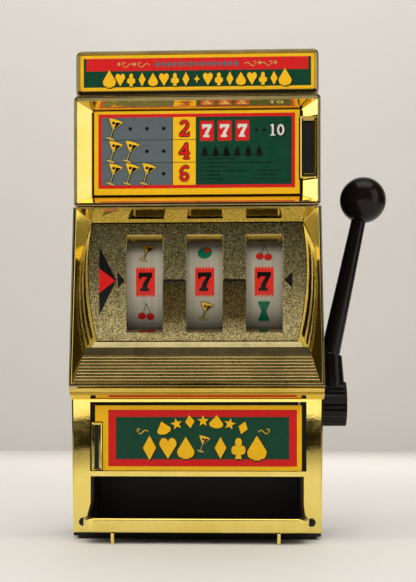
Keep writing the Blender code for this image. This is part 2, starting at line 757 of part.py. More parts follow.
def reels():
    """Each reel is a printed band round a wheel, with a toothed index wheel beside it."""
    origin = (0.0, REEL_Y, REEL_Z)
    half = REEL_WIDTH / 2
    band_inner = REEL_RADIUS - BAND_THICK
    for number, x in enumerate(REEL_CENTRES, 1):
        reel_wheel(number, x, band_inner - GAP, half)
        band = [
            (band_inner, x - half + 0.2),
            (REEL_RADIUS, x - half + 0.2),
            (REEL_RADIUS, x + half - 0.2),
            (band_inner, x + half - 0.2),
        ]
        shape = turned("x", REEL_AXIS, band, 60, True)
        make(f"reel_strip_{number}", "reel_paper", *shape, origin=origin, smooth=30.0)
        start = x + half + 0.5
        wheel = prism(tooth_outline(), "x", start, start + INDEX_THICK)
        obj = make(f"index_wheel_{number}", "steel", *wheel, origin=origin)
        combine(obj, rod("x", REEL_AXIS, AXLE_BORE, start - 2.0, start + INDEX_THICK + 2.0, 20))
        stop_lever(number, start)


def reel_wheel(number, x, radius, half):
    """A flat web with four lightening holes round a long hub."""
    profile = [
        (AXLE_BORE, x - half),
        (HUB_OUTER, x - half),
        (HUB_OUTER, x - WEB_HALF),
        (radius, x - WEB_HALF),
        (radius, x + WEB_HALF),
        (HUB_OUTER, x + WEB_HALF),
        (HUB_OUTER, x + half),
        (AXLE_BORE, x + half),
    ]
    wheel = turned("x", REEL_AXIS, profile, 40, True)
    obj = make(f"reel_drum_{number}", "white_plastic", *wheel, origin=(0.0, REEL_Y, REEL_Z))
    hole_radius = 9.0
    hole_circle = 24.0
    for i in range(4):
        angle = math.tau * (i + 0.5) / 4
        hole = (REEL_Y + hole_circle * math.cos(angle), REEL_Z + hole_circle * math.sin(angle))
        combine(obj, rod("x", hole, hole_radius, x - 3.0, x + 3.0, 12))
    shade(obj)


def stop_lever(number, start):
    """A lever from its shaft to just outside the index wheel's teeth, with a short tail."""
    pivot = Vector(STOP_AXIS)
    toward = Vector(REEL_AXIS) - pivot
    reach = toward.length - INDEX_RADIUS - 0.7
    toward.normalize()
    across = Vector((-toward.y, toward.x))
    tail = -9.0
    outline = []
    for along, side in (
        (tail, -1.6),
        (reach - 3.0, -1.4),
        (reach, -0.4),
        (reach, 0.4),
        (reach - 2.0, 2.0),
        (tail, 1.6),
    ):
        outline.append(tuple(pivot + toward * along + across * side))
    end = start + INDEX_THICK
    shape = prism(outline, "x", start + 0.4, end - 0.4)
    obj = make(f"stop_lever_{number}", "steel", *shape, origin=(0.0, STOP_Y, STOP_Z))
    combine(obj, rod("x", STOP_AXIS, 4.4, start - 1.0, end + 1.0, 20), "UNION")
    combine(obj, rod("x", STOP_AXIS, STOP_SHAFT_RADIUS + GAP, start - 3.0, end + 3.0, 16))
    shade(obj)


def arm():
    axis_point = (0.0, ARM_Y, ARM_Z)
    centre = (ARM_Y, ARM_Z)
    reach = (PLATE_LEFT - 2.0, SHAFT_END)
    make("arm_shaft", "steel", *rod("x", centre, SHAFT_RADIUS, *reach, 20), origin=axis_point, smooth=40.0)
    arm_bushing(centre)
    base = Vector((SOCKET_TOP_X, ARM_Y, SOCKET_TOP_Z))
    rod_line = Vector((KNOB_X, ARM_Y, KNOB_Z)) - base
    direction = rod_line.normalized()
    arm_hub(axis_point, centre, base, direction)
    lever_and_knob(axis_point, base, direction, rod_line.length)
    kicker(axis_point, centre)
    return_spring(centre)


def arm_bushing(centre):
    """Flanged bearing for the arm shaft in the side wall."""
    bore = SHAFT_RADIUS + GAP
    profile = [
        (bore, BODY_HALF - 3.8),
        (7.0, BODY_HALF - 3.8),
        (7.0, BODY_HALF + GAP),
        (10.0, BODY_HALF + GAP),
        (10.0, BODY_HALF + 1.4),
        (bore, BODY_HALF + 1.4),
    ]
    make("arm_bushing", "brass", *turned("x", centre, profile, 24, True), smooth=40.0)


def lever_loop(centre, across, radius_x, radius_y, count):
    """An ellipse of points round a centre, in the plane of one sideways direction and Y."""
    points = []
    for i in range(count):
        angle = math.tau * i / count
        offset = across * radius_x * math.cos(angle)
        offset = offset + Vector((0.0, radius_y * math.sin(angle), 0.0))
        points.append(tuple(centre + offset))
    return points


def square_to(direction):
    return Vector((direction.z, 0.0, -direction.x))


def arm_hub(axis_point, centre, base, direction):
    """Fluted drum on the shaft, with a socket that rises to the foot of the lever."""
    teeth = 28
    flutes = []
    for i in range(teeth * 2):
        radius = HUB_RADIUS if i % 2 else HUB_RADIUS - 0.8
        angle = math.tau * i / (teeth * 2)
        flutes.append((ARM_Y + radius * math.cos(angle), ARM_Z + radius * math.sin(angle)))
    hub = make("arm_hub", "black_plastic", *prism(flutes, "x", HUB_LEFT, HUB_RIGHT), origin=axis_point)
    middle = (HUB_LEFT + HUB_RIGHT) / 2
    level = Vector((1.0, 0.0, 0.0))
    socket = [
        lever_loop(Vector((middle, ARM_Y, ARM_Z + 8.0)), level, 10.4, 10.0, 24),
        lever_loop(Vector((middle, ARM_Y, ARM_Z + 19.0)), level, 10.2, 10.0, 24),
        lever_loop(base, square_to(direction), 9.2, 9.2, 24),
    ]
    combine(hub, stack(socket), "UNION")
    combine(hub, rod("x", centre, SHAFT_RADIUS + GAP, HUB_LEFT - 2.0, SHAFT_END + 0.4, 20))
    shade(hub, 30.0)


def lever_and_knob(axis_point, base, direction, length):
    """A tapering rod from the socket to the ball, which has a flat underside."""
    flat = KNOB_RADIUS * 0.93
    across = square_to(direction)
    loops = []
    for along, radius in ((GAP, 7.3), (length * 0.5, 6.4), (length - flat - GAP, 5.6)):
        loops.append(lever_loop(base + direction * along, across, radius, radius, 20))
    make("arm_lever", "black_plastic", *stack(loops), origin=axis_point, smooth=40.0)

    steps = 16
    start = -math.asin(flat / KNOB_RADIUS)
    end = math.radians(88.0)
    loops = []
    for i in range(steps + 1):
        angle = start + (end - start) * i / steps
        centre = base + direction * (length + KNOB_RADIUS * math.sin(angle))
        radius = KNOB_RADIUS * math.cos(angle)
        loops.append(lever_loop(centre, across, radius, radius, 28))
    make("arm_knob", "black_plastic", *stack(loops), origin=axis_point, smooth=60.0)


def kicker(axis_point, centre):
    """Tube on the arm shaft with one finger under each index wheel."""
    tube = [
        (SHAFT_RADIUS + GAP, PLATE_LEFT + 3.0),
        (7.0, PLATE_LEFT + 3.0),
        (7.0, PLATE_RIGHT - 1.5),
        (SHAFT_RADIUS + GAP, PLATE_RIGHT - 1.5),
    ]
    obj = make("arm_kicker", "steel", *turned("x", centre, tube, 24, True), origin=axis_point)
    up = Vector((math.sin(FINGER_REST), math.cos(FINGER_REST)))
    side = Vector((up.y, -up.x))
    base = Vector(centre)
    for x in REEL_CENTRES:
        start = x + REEL_WIDTH / 2 + 0.7
        outline = []
        for along, width in ((5.6, -4.0), (FINGER_LENGTH, -2.0), (FINGER_LENGTH, 2.0), (5.6, 4.0)):
            outline.append(tuple(base + up * along + side * width))
        combine(obj, prism(outline, "x", start, start + 2.6), "UNION")
    shade(obj)


def return_spring(centre):
    """Torsion coil round the arm shaft, between the chassis and the side wall."""
    turns = 5
    steps = 14
    wire = 0.7
    mean = 6.2
    start = PLATE_RIGHT + PLATE_THICK + 1.4
    pitch = 1.75
    loops = []
    sideways = Vector((1.0, 0.0, 0.0))
    for i in range(turns * steps + 1):
        turn = math.tau * i / steps
        outward = Vector((0.0, math.cos(turn), math.sin(turn)))
        middle = Vector((start + pitch * i / steps, centre[0], centre[1])) + outward * mean
        loop = []
        for u, v in circle(wire, 5):
            loop.append(tuple(middle + outward * u + sideways * v))
        loops.append(loop)
    make("arm_return_spring", "steel", *stack(loops), smooth=60.0)


def bell_gong():
    """A shallow bowl, mouth down, with a hole for its post."""
    wall = 1.4
    hole = 2.3
    outer = []
    inner = []
    for i in range(6):
        angle = math.radians(86.0 * i / 5)
        for side, inset in ((outer, 0.0), (inner, wall)):
            radius = (GONG_RADIUS - inset) * math.cos(angle)
            side.append((radius, GONG_RIM + (GONG_HEIGHT - inset) * math.sin(angle)))
    outer[-1] = (hole, outer[-1][1])
    inner[-1] = (hole, inner[-1][1])
    make("bell_gong", "brass", *turned("z", GONG, outer + inner[::-1], 24, True), smooth=40.0)


def bell_post():
    """A strip on the floor with one post for the gong and one for the hammer."""
    strip_x = (GONG[0] - 8.0, HAMMER[0] + 5.0)
    strip_y = (GONG[1] - 6.0, HAMMER[1] + 5.0)
    foot = SHELL_BOTTOM + 1.0
    post = make("bell_post", "steel", *block(strip_x, strip_y, (SHELL_BOTTOM, SHELL_BOTTOM + 1.5)))
    shoulder = GONG_RIM + GONG_HEIGHT - 3.0
    column = [(3.4, foot), (3.4, shoulder), (2.0, shoulder), (2.0, shoulder + 6.0)]
    combine(post, turned("z", GONG, column, 16, False), "UNION")
    combine(post, rod("z", HAMMER, 2.0, foot, HAMMER_Z + 7.0, 16), "UNION")
    shade(post)


def bell_hammer():
    """A flat arm on a collar, with a round head beside the gong's rim."""
    pivot = Vector(HAMMER)
    ball = Vector((GONG[0] + GONG_RADIUS + 3.8, GONG[1] + 1.0))
    along = (ball - pivot).normalized()
    side = Vector((-along.y, along.x))
    start = pivot + along * 2.8
    outline = [tuple(point) for point in (start + side, ball + side, ball - side, start - side)]
    shape = prism(outline, "z", HAMMER_Z - 1.0, HAMMER_Z + 1.0)
    hammer = make("bell_hammer", "steel", *shape, origin=(HAMMER[0], HAMMER[1], 0.0))
    low, high = HAMMER_Z - 2.5, HAMMER_Z + 2.5
    collar = [(2.3, low), (4.0, low), (4.0, high), (2.3, high)]
    combine(hammer, turned("z", HAMMER, collar, 20, True), "UNION")
    head = []
    for degrees in range(-80, 81, 20):
        angle = math.radians(degrees)
        head.append((3.0 * math.cos(angle), HAMMER_Z + 3.0 * math.sin(angle)))
    combine(hammer, turned("z", tuple(ball), head, 16, False), "UNION")
    shade(hammer)


def build():
    for obj in list(bpy.data.objects):
        bpy.data.objects.remove(obj)
    body_shell()
    base_plate()
    back_cover()
    marquee_frame()
    paytable_frame()
    reel_surround()
    reel_cover()
    make("ribbed_ledge", "gold_chrome", *between_cheeks(ledge_outline()))
    half = SURROUND_BOTTOM_HALF - 0.1
    make("belt_moulding", "gold_chrome", *prism(belt_outline(), "x", -half, half), smooth=25.0)
    lower_front()
    front_screws()
    payout_tray()
    tray_lip()
    upper_box()
    lower_box()
    paytable_panel()
    jackpot_panel()
    chassis()
    reels()
    arm()
    bell_gong()
    bell_post()
    bell_hammer()


build()
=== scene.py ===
"""Looks for the table-top slot machine: plated gold, glitter, printed panels and reels, studio light."""

import json
import math

import bmesh
import bpy
from mathutils import Matrix, Vector
from mathutils.geometry import delaunay_2d_cdt

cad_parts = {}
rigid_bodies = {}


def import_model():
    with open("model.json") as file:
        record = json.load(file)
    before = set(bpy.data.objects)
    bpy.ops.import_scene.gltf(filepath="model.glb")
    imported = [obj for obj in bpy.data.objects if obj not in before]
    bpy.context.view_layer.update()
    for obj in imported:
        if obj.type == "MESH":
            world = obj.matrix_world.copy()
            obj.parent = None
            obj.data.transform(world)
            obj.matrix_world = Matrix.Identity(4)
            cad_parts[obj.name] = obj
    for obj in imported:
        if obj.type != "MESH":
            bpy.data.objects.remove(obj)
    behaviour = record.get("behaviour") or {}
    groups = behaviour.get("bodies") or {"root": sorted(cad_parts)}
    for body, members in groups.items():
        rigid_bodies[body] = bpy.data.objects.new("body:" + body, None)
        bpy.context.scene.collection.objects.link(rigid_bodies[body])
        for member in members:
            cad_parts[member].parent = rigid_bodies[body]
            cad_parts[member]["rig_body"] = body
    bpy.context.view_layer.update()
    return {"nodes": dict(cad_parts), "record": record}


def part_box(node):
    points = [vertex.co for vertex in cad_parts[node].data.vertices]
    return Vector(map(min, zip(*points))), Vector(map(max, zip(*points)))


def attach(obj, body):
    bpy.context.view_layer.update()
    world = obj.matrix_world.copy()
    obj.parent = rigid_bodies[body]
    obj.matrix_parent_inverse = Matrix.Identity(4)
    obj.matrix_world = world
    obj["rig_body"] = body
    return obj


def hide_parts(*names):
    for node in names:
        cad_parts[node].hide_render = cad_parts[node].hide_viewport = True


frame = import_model()
NODES = frame["nodes"]
MM = 0.001


# ---------------------------------------------------------------- shader helpers
class Look:
    """A material with one Principled shader and short ways to add procedural detail."""

    def __init__(self, name, colour, roughness=0.4, metallic=0.0, **sockets):
        self.material = bpy.data.materials.new(name)
        self.material.use_nodes = True
        self.tree = self.material.node_tree
        self.shader = self.tree.nodes["Principled BSDF"]
        self.shader.inputs["Base Color"].default_value = (*colour, 1.0)
        self.shader.inputs["Roughness"].default_value = roughness
        self.shader.inputs["Metallic"].default_value = metallic
        for socket, value in sockets.items():
            self.shader.inputs[socket.replace("_", " ")].default_value = value
        self.place = self.node("ShaderNodeTexCoord").outputs["Object"]

    def node(self, kind, **values):
        made = self.tree.nodes.new(kind)
        for key, value in values.items():
            setattr(made, key, value)
        return made

    def link(self, source, target):
        self.tree.links.new(source, target)

    def noise(self, scale, detail=3.0, roughness=0.5, stretch=None):
        """Noise with its scale in waves a metre, stretched along an axis where one is given less."""
        texture = self.node("ShaderNodeTexNoise")
        texture.inputs["Scale"].default_value = scale
        texture.inputs["Detail"].default_value = detail
        texture.inputs["Roughness"].default_value = roughness
        source = self.place
        if stretch:
            mapping = self.node("ShaderNodeMapping")
            mapping.inputs["Scale"].default_value = stretch
            self.link(self.place, mapping.inputs["Vector"])
            source = mapping.outputs["Vector"]
        self.link(source, texture.inputs["Vector"])
        return texture.outputs["Fac"]

    def cells(self, scale):
        """A random colour for each cell."""
        texture = self.node("ShaderNodeTexVoronoi")
        texture.inputs["Scale"].default_value = scale
        self.link(self.place, texture.inputs["Vector"])
        return texture.outputs["Color"]

    def parts(self):
        """The three coordinates of a point on the piece."""
        split = self.node("ShaderNodeSeparateXYZ")
        self.link(self.place, split.inputs["Vector"])
        return split.outputs

    def calculate(self, operation, first, second=None):
        """One arithmetic step; a value is a socket or a number."""
        step = self.node("ShaderNodeMath", operation=operation)
        for socket, value in zip(step.inputs, (first, second)):
            if isinstance(value, (int, float)):
                socket.default_value = value
            elif value is not None:
                self.link(value, socket)
        return step.outputs[0]

    def ramp(self, value, low, high, low_at=0.0, high_at=1.0):
        """A value turned into a number between low and high."""
        span = self.node("ShaderNodeMapRange")
        span.inputs["From Min"].default_value = low_at
        span.inputs["From Max"].default_value = high_at
        span.inputs["To Min"].default_value = low
        span.inputs["To Max"].default_value = high
        self.link(value, span.inputs["Value"])
        return span.outputs["Result"]

    def mix(self, factor, first, second, blend="MIX"):
        """Two colours mixed by a value; a colour is a socket or three numbers."""
        mixer = self.node("ShaderNodeMix", data_type="RGBA", blend_type=blend)
        if isinstance(factor, float):
            mixer.inputs["Factor"].default_value = factor
        else:
            self.link(factor, mixer.inputs["Factor"])
        for key, colour in (("A", first), ("B", second)):
            socket = [s for s in mixer.inputs if s.name == key and s.type == "RGBA"][0]
            if isinstance(colour, tuple):
                socket.default_value = (*colour, 1.0)
            else:
                self.link(colour, socket)
        return [s for s in mixer.outputs if s.type == "RGBA"][0]

    def colour(self, socket):
        self.link(socket, self.shader.inputs["Base Color"])

    def roughness(self, socket):
        self.link(socket, self.shader.inputs["Roughness"])

    def bump(self, height, distance, strength=1.0):
        """Bump whose height is in metres at distance; several calls add up."""
        node = self.node("ShaderNodeBump")
        node.inputs["Strength"].default_value = strength
        node.inputs["Distance"].default_value = distance
        self.link(height, node.inputs["Height"])
        normal = self.shader.inputs["Normal"]
        if normal.is_linked:
            self.link(normal.links[0].from_socket, node.inputs["Normal"])
        self.link(node.outputs["Normal"], normal)


# ---------------------------------------------------------------- materials
def gold_plating(name, bright, dull, rough_low, rough_high):
    """Vacuum-plated plastic: lemon gold, slightly wavy, with faint haze and specks."""
    look = Look(name, bright, rough_low, 1.0)
    haze = look.noise(38.0, 4.0, 0.6)
    tone = look.mix(look.ramp(haze, 0.0, 1.0, 0.35, 0.7), bright, dull)
    specks = look.ramp(look.noise(1500.0, 2.0), 0.0, 1.0, 0.66, 0.74)
    look.colour(look.mix(specks, tone, tuple(c * 0.45 for c in dull)))
    look.roughness(look.ramp(look.noise(90.0, 5.0, 0.65), rough_low, rough_high, 0.35, 0.7))
    look.bump(look.noise(34.0, 2.0), 0.00003)
    look.bump(look.noise(900.0, 2.0), 0.000004)
    return look.material


def gold_glitter():
    """The reel cover: bright flakes on bronze, darker below the pay line between the outer windows.
    The funnels behind its front are smooth plating, given a darker gold colour that is painted shade of the
    recesses."""
    look = Look("glitter_gold", (0.72, 0.55, 0.24), 0.34, 1.0)
    split = look.node("ShaderNodeSeparateColor")
    look.link(look.cells(1700.0), split.inputs["Color"])
    shine = look.ramp(split.outputs["Red"], 0.0, 1.0, 0.15, 1.0)
    light = look.mix(shine, (0.19, 0.145, 0.050), (0.93, 0.80, 0.42))
    dark = look.mix(shine, (0.035, 0.024, 0.008), (0.26, 0.19, 0.07))
    textured = look.mix(dark_zone(look), light, dark)
    smooth = behind_front(look)
    # Painted shade: the funnels' smooth plating gets a dim gold colour, standing in for the shade of the
    # recesses; its smoothness is real.
    look.colour(look.mix(smooth, textured, (0.50, 0.40, 0.16)))
    smooth_roughness = 0.10
    blend = look.node("ShaderNodeMix", data_type="FLOAT")
    look.link(smooth, blend.inputs[0])
    look.link(look.ramp(split.outputs["Green"], 0.10, 0.38), blend.inputs[2])
    blend.inputs[3].default_value = smooth_roughness
    look.roughness(blend.outputs[0])
    rough = look.calculate("SUBTRACT", 1.0, smooth)
    grain = look.calculate("MULTIPLY", look.noise(1500.0, 3.0, 0.7), rough)
    look.bump(grain, 0.00026)
    return look.material


def behind_front(look):
    """1 on any surface set back from the cover's curved front, 0 on the front itself."""
    depth, height, radius = cover_arc()
    parts = look.parts()
    squares = []
    for axis, centre in (("Y", depth), ("Z", height)):
        offset = look.calculate("SUBTRACT", parts[axis], centre)
        squares.append(look.calculate("POWER", offset, 2.0))
    reach = look.calculate("SQRT", look.calculate("ADD", *squares))
    tolerance = 0.12 * MM
    return look.calculate("LESS_THAN", reach, radius - tolerance)


def dark_zone(look):
    """1 below the pay line and between the outer windows, fading to 0 at the windows' foot."""
    parts = look.parts()
    below = look.calculate("LESS_THAN", parts["Z"], PAY_LINE)
    away = look.calculate("ABSOLUTE", look.calculate("SUBTRACT", parts["X"], REEL_CENTRES[1]))
    near = look.calculate("LESS_THAN", away, REEL_CENTRES[2] - REEL_CENTRES[1])
    both = look.calculate("MULTIPLY", below, near)
    fade = look.ramp(parts["Z"], 0.0, 1.0, WINDOW_FOOT - 3 * MM, WINDOW_FOOT + 12 * MM)
    return look.calculate("MULTIPLY", both, fade)


def black_plastic(name, colour, rough_low, rough_high, grain):
    """Moulded plastic with a fine grain, handling marks and a little dust."""
    look = Look(name, colour, rough_low, 0.0, Specular_IOR_Level=0.22)
    dust = look.ramp(look.noise(700.0, 2.0), 0.0, 0.22, 0.68, 0.80)
    tone = look.mix(look.noise(16.0), colour, tuple(min(1.0, c * 1.9 + 0.002) for c in colour))
    look.colour(look.mix(dust, tone, (0.10, 0.095, 0.08)))
    look.roughness(look.ramp(look.noise(60.0, 6.0, 0.7), rough_low, rough_high, 0.3, 0.72))
    look.bump(look.noise(2200.0, 2.0), grain)
    look.bump(look.noise(45.0, 2.0), 0.00008)
    return look.material


def ink(name, colour, roughness=0.33):
    """Printing ink on card: slightly mottled, with paper tooth showing through."""
    look = Look(name, colour, roughness, Specular_IOR_Level=0.32)
    darker = tuple(c * 0.82 for c in colour)
    tone = look.mix(look.noise(240.0, 4.0, 0.6), colour, darker)
    worn = look.ramp(look.noise(1300.0, 2.0), 0.0, 0.5, 0.70, 0.82)
    lighter = tuple(min(1.0, c * 0.7 + 0.18) for c in colour)
    look.colour(look.mix(worn, tone, lighter))
    look.roughness(look.ramp(look.noise(120.0, 4.0), roughness - 0.08, roughness + 0.14, 0.3, 0.7))
    look.bump(look.noise(3000.0, 2.0), 0.000008)
    return look.material


def reel_paper():
    """Pale satin reel strip with faint wear rings round it."""
    look = Look("reel_paper", (0.62, 0.61, 0.57), 0.42)
    rings = look.noise(260.0, 3.0, 0.6, (1.0, 0.04, 0.04))
    base = look.mix(look.ramp(rings, 0.0, 1.0, 0.3, 0.7), (0.47, 0.44, 0.35), (0.38, 0.35, 0.27))
    stain = look.ramp(look.noise(60.0, 4.0), 0.0, 0.35, 0.55, 0.8)
    look.colour(look.mix(stain, base, (0.34, 0.28, 0.17)))
    look.roughness(look.ramp(rings, 0.34, 0.52, 0.3, 0.7))
    look.bump(look.noise(2600.0, 2.0), 0.000006)
    return look.material


def metal(name, colour, low, high, grain=(1.0, 1.0, 1.0)):
    """Plain metal with directional scratches and slight tarnish."""
    look = Look(name, colour, low, 1.0)
    lines = look.noise(700.0, 4.0, 0.6, grain)
    darker = tuple(c * 0.68 for c in colour)
    look.colour(look.mix(look.ramp(look.noise(70.0, 5.0), 0.0, 1.0, 0.4, 0.75), colour, darker))
    look.roughness(look.ramp(lines, low, high, 0.3, 0.7))
    look.bump(lines, 0.00001)
    return look.material


def white_plastic():
    """Unpainted moulded plastic of the reel wheels."""
    look = Look("natural_plastic", (0.70, 0.68, 0.62), 0.42)
    look.colour(look.mix(look.noise(90.0, 4.0), (0.72, 0.70, 0.64), (0.58, 0.56, 0.49)))
    look.roughness(look.ramp(look.noise(160.0, 4.0), 0.36, 0.56, 0.3, 0.7))
    look.bump(look.noise(1500.0, 2.0), 0.00001)
    return look.material


# ---------------------------------------------------------------- places read from the frame
def middle(node):
    """Middle of a CAD node's box."""
    low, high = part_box(node)
    return (low + high) / 2


REEL_CENTRES = [middle(f"reel_strip_{i}").x for i in (1, 2, 3)]
REEL_AXIS = middle("reel_strip_2")
PAY_LINE = REEL_AXIS.z
WINDOW_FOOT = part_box("reel_cover")[0].z + 5.5 * MM
REEL_RADIUS = (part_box("reel_strip_2")[1].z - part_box("reel_strip_2")[0].z) / 2
SAME_LEVEL = 0.01 * MM


def cover_depth(z):
    """Depth of the cover's front face at a height, read from the CAD node."""
    found = [vert.co for vert in NODES["reel_cover"].data.vertices]
    front_at = {}
    for point in found:
        level_points = [other.y for other in found if abs(other.z - point.z) < SAME_LEVEL]
        front_at[round(point.z, 5)] = min(level_points)
    fronts = sorted(front_at.items())
    for (za, ya), (zb, yb) in zip(fronts, fronts[1:]):
        if za <= z <= zb:
            return ya + (yb - ya) * (z - za) / (zb - za)
    return fronts[0][1]


def cover_arc():
    """Centre depth, centre height and radius of the cover's front, from three of its points."""
    low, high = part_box("reel_cover")
    inside = 0.001 * MM
    centre = (low.z + high.z) / 2
    ay, by, cy = (cover_depth(z) for z in (low.z + inside, centre, high.z - inside))
    az, bz, cz = low.z, centre, high.z
    a, b, c = ay**2 + az**2, by**2 + bz**2, cy**2 + cz**2
    twice = 2 * (ay * (bz - cz) + by * (cz - az) + cy * (az - bz))
    depth = (a * (bz - cz) + b * (cz - az) + c * (az - bz)) / twice
    height = (a * (cy - by) + b * (ay - cy) + c * (by - ay)) / twice
    return depth, height, math.hypot(ay - depth, az - height)


GOLD = gold_plating("plated_gold", (0.95, 0.76, 0.22), (0.87, 0.67, 0.15), 0.02, 0.07)
# Painted shade: a darker copy of the same plating for the frames' front beads, standing in for the dark
# room they mirror.
BEAD_SHADE_GOLD = gold_plating("bead_painted_shade_gold", (0.36, 0.29, 0.13), (0.24, 0.19, 0.08), 0.03, 0.10)
OLD_GOLD = gold_plating("worn_gold", (0.78, 0.66, 0.34), (0.62, 0.52, 0.25), 0.08, 0.16)
GLITTER = gold_glitter()
SHELL_BLACK = black_plastic("shell_black", (0.010, 0.0095, 0.009), 0.30, 0.50, 0.000022)
GLOSS_BLACK = black_plastic("gloss_black", (0.0045, 0.0028, 0.0024), 0.12, 0.22, 0.000004)
TRAY_BLACK = black_plastic("tray_black", (0.012, 0.008, 0.006), 0.26, 0.44, 0.000012)
STEEL = metal("zinc_steel", (0.58, 0.59, 0.60), 0.24, 0.44, (1.0, 0.06, 1.0))
BRASS = metal("pressed_brass", (0.78, 0.58, 0.27), 0.16, 0.34)
NATURAL = white_plastic()
PAPER = reel_paper()
INKS = {
    "yellow": ink("ink_yellow", (0.93, 0.52, 0.004)),
    "red": ink("ink_red", (0.66, 0.006, 0.006)),
    "orange": ink("ink_orange", (0.80, 0.022, 0.010)),
    "green": ink("ink_green", (0.001, 0.052, 0.024)),
    "leaf": ink("ink_leaf", (0.004, 0.17, 0.085)),
    "grey": ink("ink_grey", (0.105, 0.130, 0.140)),
    "black": ink("ink_black", (0.004, 0.004, 0.004)),
    "white": ink("ink_white", (0.72, 0.70, 0.64)),
    "gilt": ink("ink_gilt", (0.50, 0.38, 0.10)),
}

FINISHES = {
    "gold_chrome": GOLD,
    "gold_glitter": GLITTER,
    "black_plastic": SHELL_BLACK,
    "printed_card": INKS["yellow"],
    "reel_paper": PAPER,
    "white_plastic": NATURAL,
    "steel": STEEL,
    "brass": BRASS,
}
OTHER_FINISHES = {
    "arm_hub": GLOSS_BLACK,
    "arm_lever": GLOSS_BLACK,
    "arm_knob": GLOSS_BLACK,
    "payout_tray": TRAY_BLACK,
    "ribbed_ledge": OLD_GOLD,
}


# ---------------------------------------------------------------- CAD pieces: finish and softened edges
def paint(obj, material):
    """One material on a whole object."""
    obj.data.materials.clear()
    obj.data.materials.append(material)


def softened(node, width):
    """A copy of a CAD node with its edges rounded inwards, shown in the node's place."""
    source = NODES[node]
    mesh = source.data.copy()
    mesh.name = f"{node}_soft"
    work = bmesh.new()
    work.from_mesh(mesh)
    bmesh.ops.remove_doubles(work, verts=work.verts, dist=0.01 * MM)
    flat = math.radians(1.5)
    bmesh.ops.dissolve_limit(work, angle_limit=flat, verts=work.verts, edges=work.edges)
    work.to_mesh(mesh)
    work.free()
    piece = bpy.data.objects.new(f"{node}_soft", mesh)
    bpy.context.scene.collection.objects.link(piece)
    bevel = piece.modifiers.new("edges", "BEVEL")
    bevel.width = width * MM
    bevel.segments = 2
    bevel.limit_method = "ANGLE"
    bevel.angle_limit = math.radians(32.0)
    bevel.use_clamp_overlap = True
    mesh.shade_smooth()
    mesh.set_sharp_from_angle(angle=math.radians(50.0))
    level = piece.modifiers.new("flat_faces", "WEIGHTED_NORMAL")
    level.keep_sharp = True
    level.weight = 100
    paint(piece, OTHER_FINISHES.get(node, FINISHES[slot_of(node)]))
    # painted shade: the front bead of these frames gets the darker copy of the plating
    if node in SHADE_PAINTED_BEADS:
        paint_bead_shade(piece)
    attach(piece, source["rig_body"])
    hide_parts(node)
    return piece


# Frames whose rounded front bead gets painted shade, the darker copy of the gold plating.
SHADE_PAINTED_BEADS = ("marquee_frame", "paytable_frame", "reel_surround")
BEAD_DEPTH = 1.3 * MM


def paint_bead_shade(piece):
    """Painted shade on the rounded front edge of a frame: the faces near its sloping front get the darker
    copy of the plating.
    """
    mesh = piece.data
    mesh.materials.append(BEAD_SHADE_GOLD)
    points = [v.co for v in mesh.vertices]
    top = max(p.z for p in points)
    foot = min(p.z for p in points)
    reach = 4 * MM
    top_front = min(p.y for p in points if p.z > top - reach)
    foot_front = min(p.y for p in points if p.z < foot + reach)
    for face in mesh.polygons:
        behind = []
        for index in face.vertices:
            p = points[index]
            share = (p.z - foot) / (top - foot)
            behind.append(p.y - (foot_front + (top_front - foot_front) * share))
        if max(behind) < BEAD_DEPTH:
            face.material_index = 1


SLOTS = {part["node"]: part["material_slot"] for part in frame["record"]["subparts"]}


def slot_of(node):
    """Material slot that the record gives a node."""
    return SLOTS[node]


SOFT_EDGES = {
    "marquee_frame": 0.25,
    "paytable_frame": 0.30,
    "reel_surround": 0.45,
    "ribbed_ledge": 0.16,
    "belt_moulding": 0.30,
    "lower_front": 0.40,
    "tray_lip": 0.35,
    "payout_tray": 0.50,
    "base_plate": 0.30,
    "back_cover": 0.40,
    "body_shell": 0.45,
    "paytable_pull": 0.14,
    "jackpot_pull": 0.14,
    "arm_hub": 0.18,
    "reel_cover": 0.60,
}


def round_knob():
    """The ball of the arm, turned finely, with its flat underside square to the lever."""
    low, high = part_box("arm_knob")
    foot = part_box("arm_lever")[0]
    radius = (high.y - low.y) / 2
    flat_share = 0.93
    centre = Vector((high.x - radius, (low.y + high.y) / 2, high.z - radius))
    lever_foot_half = radius * 0.4
    lever_foot = Vector((foot.x + lever_foot_half, centre.y, foot.z))
    direction = (centre - lever_foot).normalized()
    work = bmesh.new()
    bmesh.ops.create_uvsphere(work, u_segments=72, v_segments=48, radius=radius)
    geometry = work.verts[:] + work.edges[:] + work.faces[:]
    flat = (0, 0, -radius * flat_share)
    bmesh.ops.bisect_plane(work, geom=geometry, plane_co=flat, plane_no=(0, 0, -1), clear_outer=True)
    rim = [edge for edge in work.edges if edge.is_boundary]
    bmesh.ops.contextual_create(work, geom=rim)
    mesh = bpy.data.meshes.new("round_knob")
    work.to_mesh(mesh)
    work.free()
    mesh.transform(direction.to_track_quat("Z", "Y").to_matrix().to_4x4())
    mesh.shade_smooth()
    mesh.set_sharp_from_angle(angle=math.radians(30.0))
    obj = bpy.data.objects.new("round_knob", mesh)
    bpy.context.scene.collection.objects.link(obj)
    obj.matrix_world = Matrix.Translation(centre)
    paint(obj, GLOSS_BLACK)
    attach(obj, "arm")
    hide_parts("arm_knob")


def finish_cad():
    """Every CAD node gets its finish, and the visible ones a copy with soft edges."""
    for node, obj in NODES.items():
        paint(obj, OTHER_FINISHES.get(node, FINISHES[slot_of(node)]))
    for node, width in SOFT_EDGES.items():
        softened(node, width)
    round_knob()


# ---------------------------------------------------------------- flat shapes, in millimetres
def circle(cx, cy, radius, count=24):
    return ellipse(cx, cy, radius, radius, count)


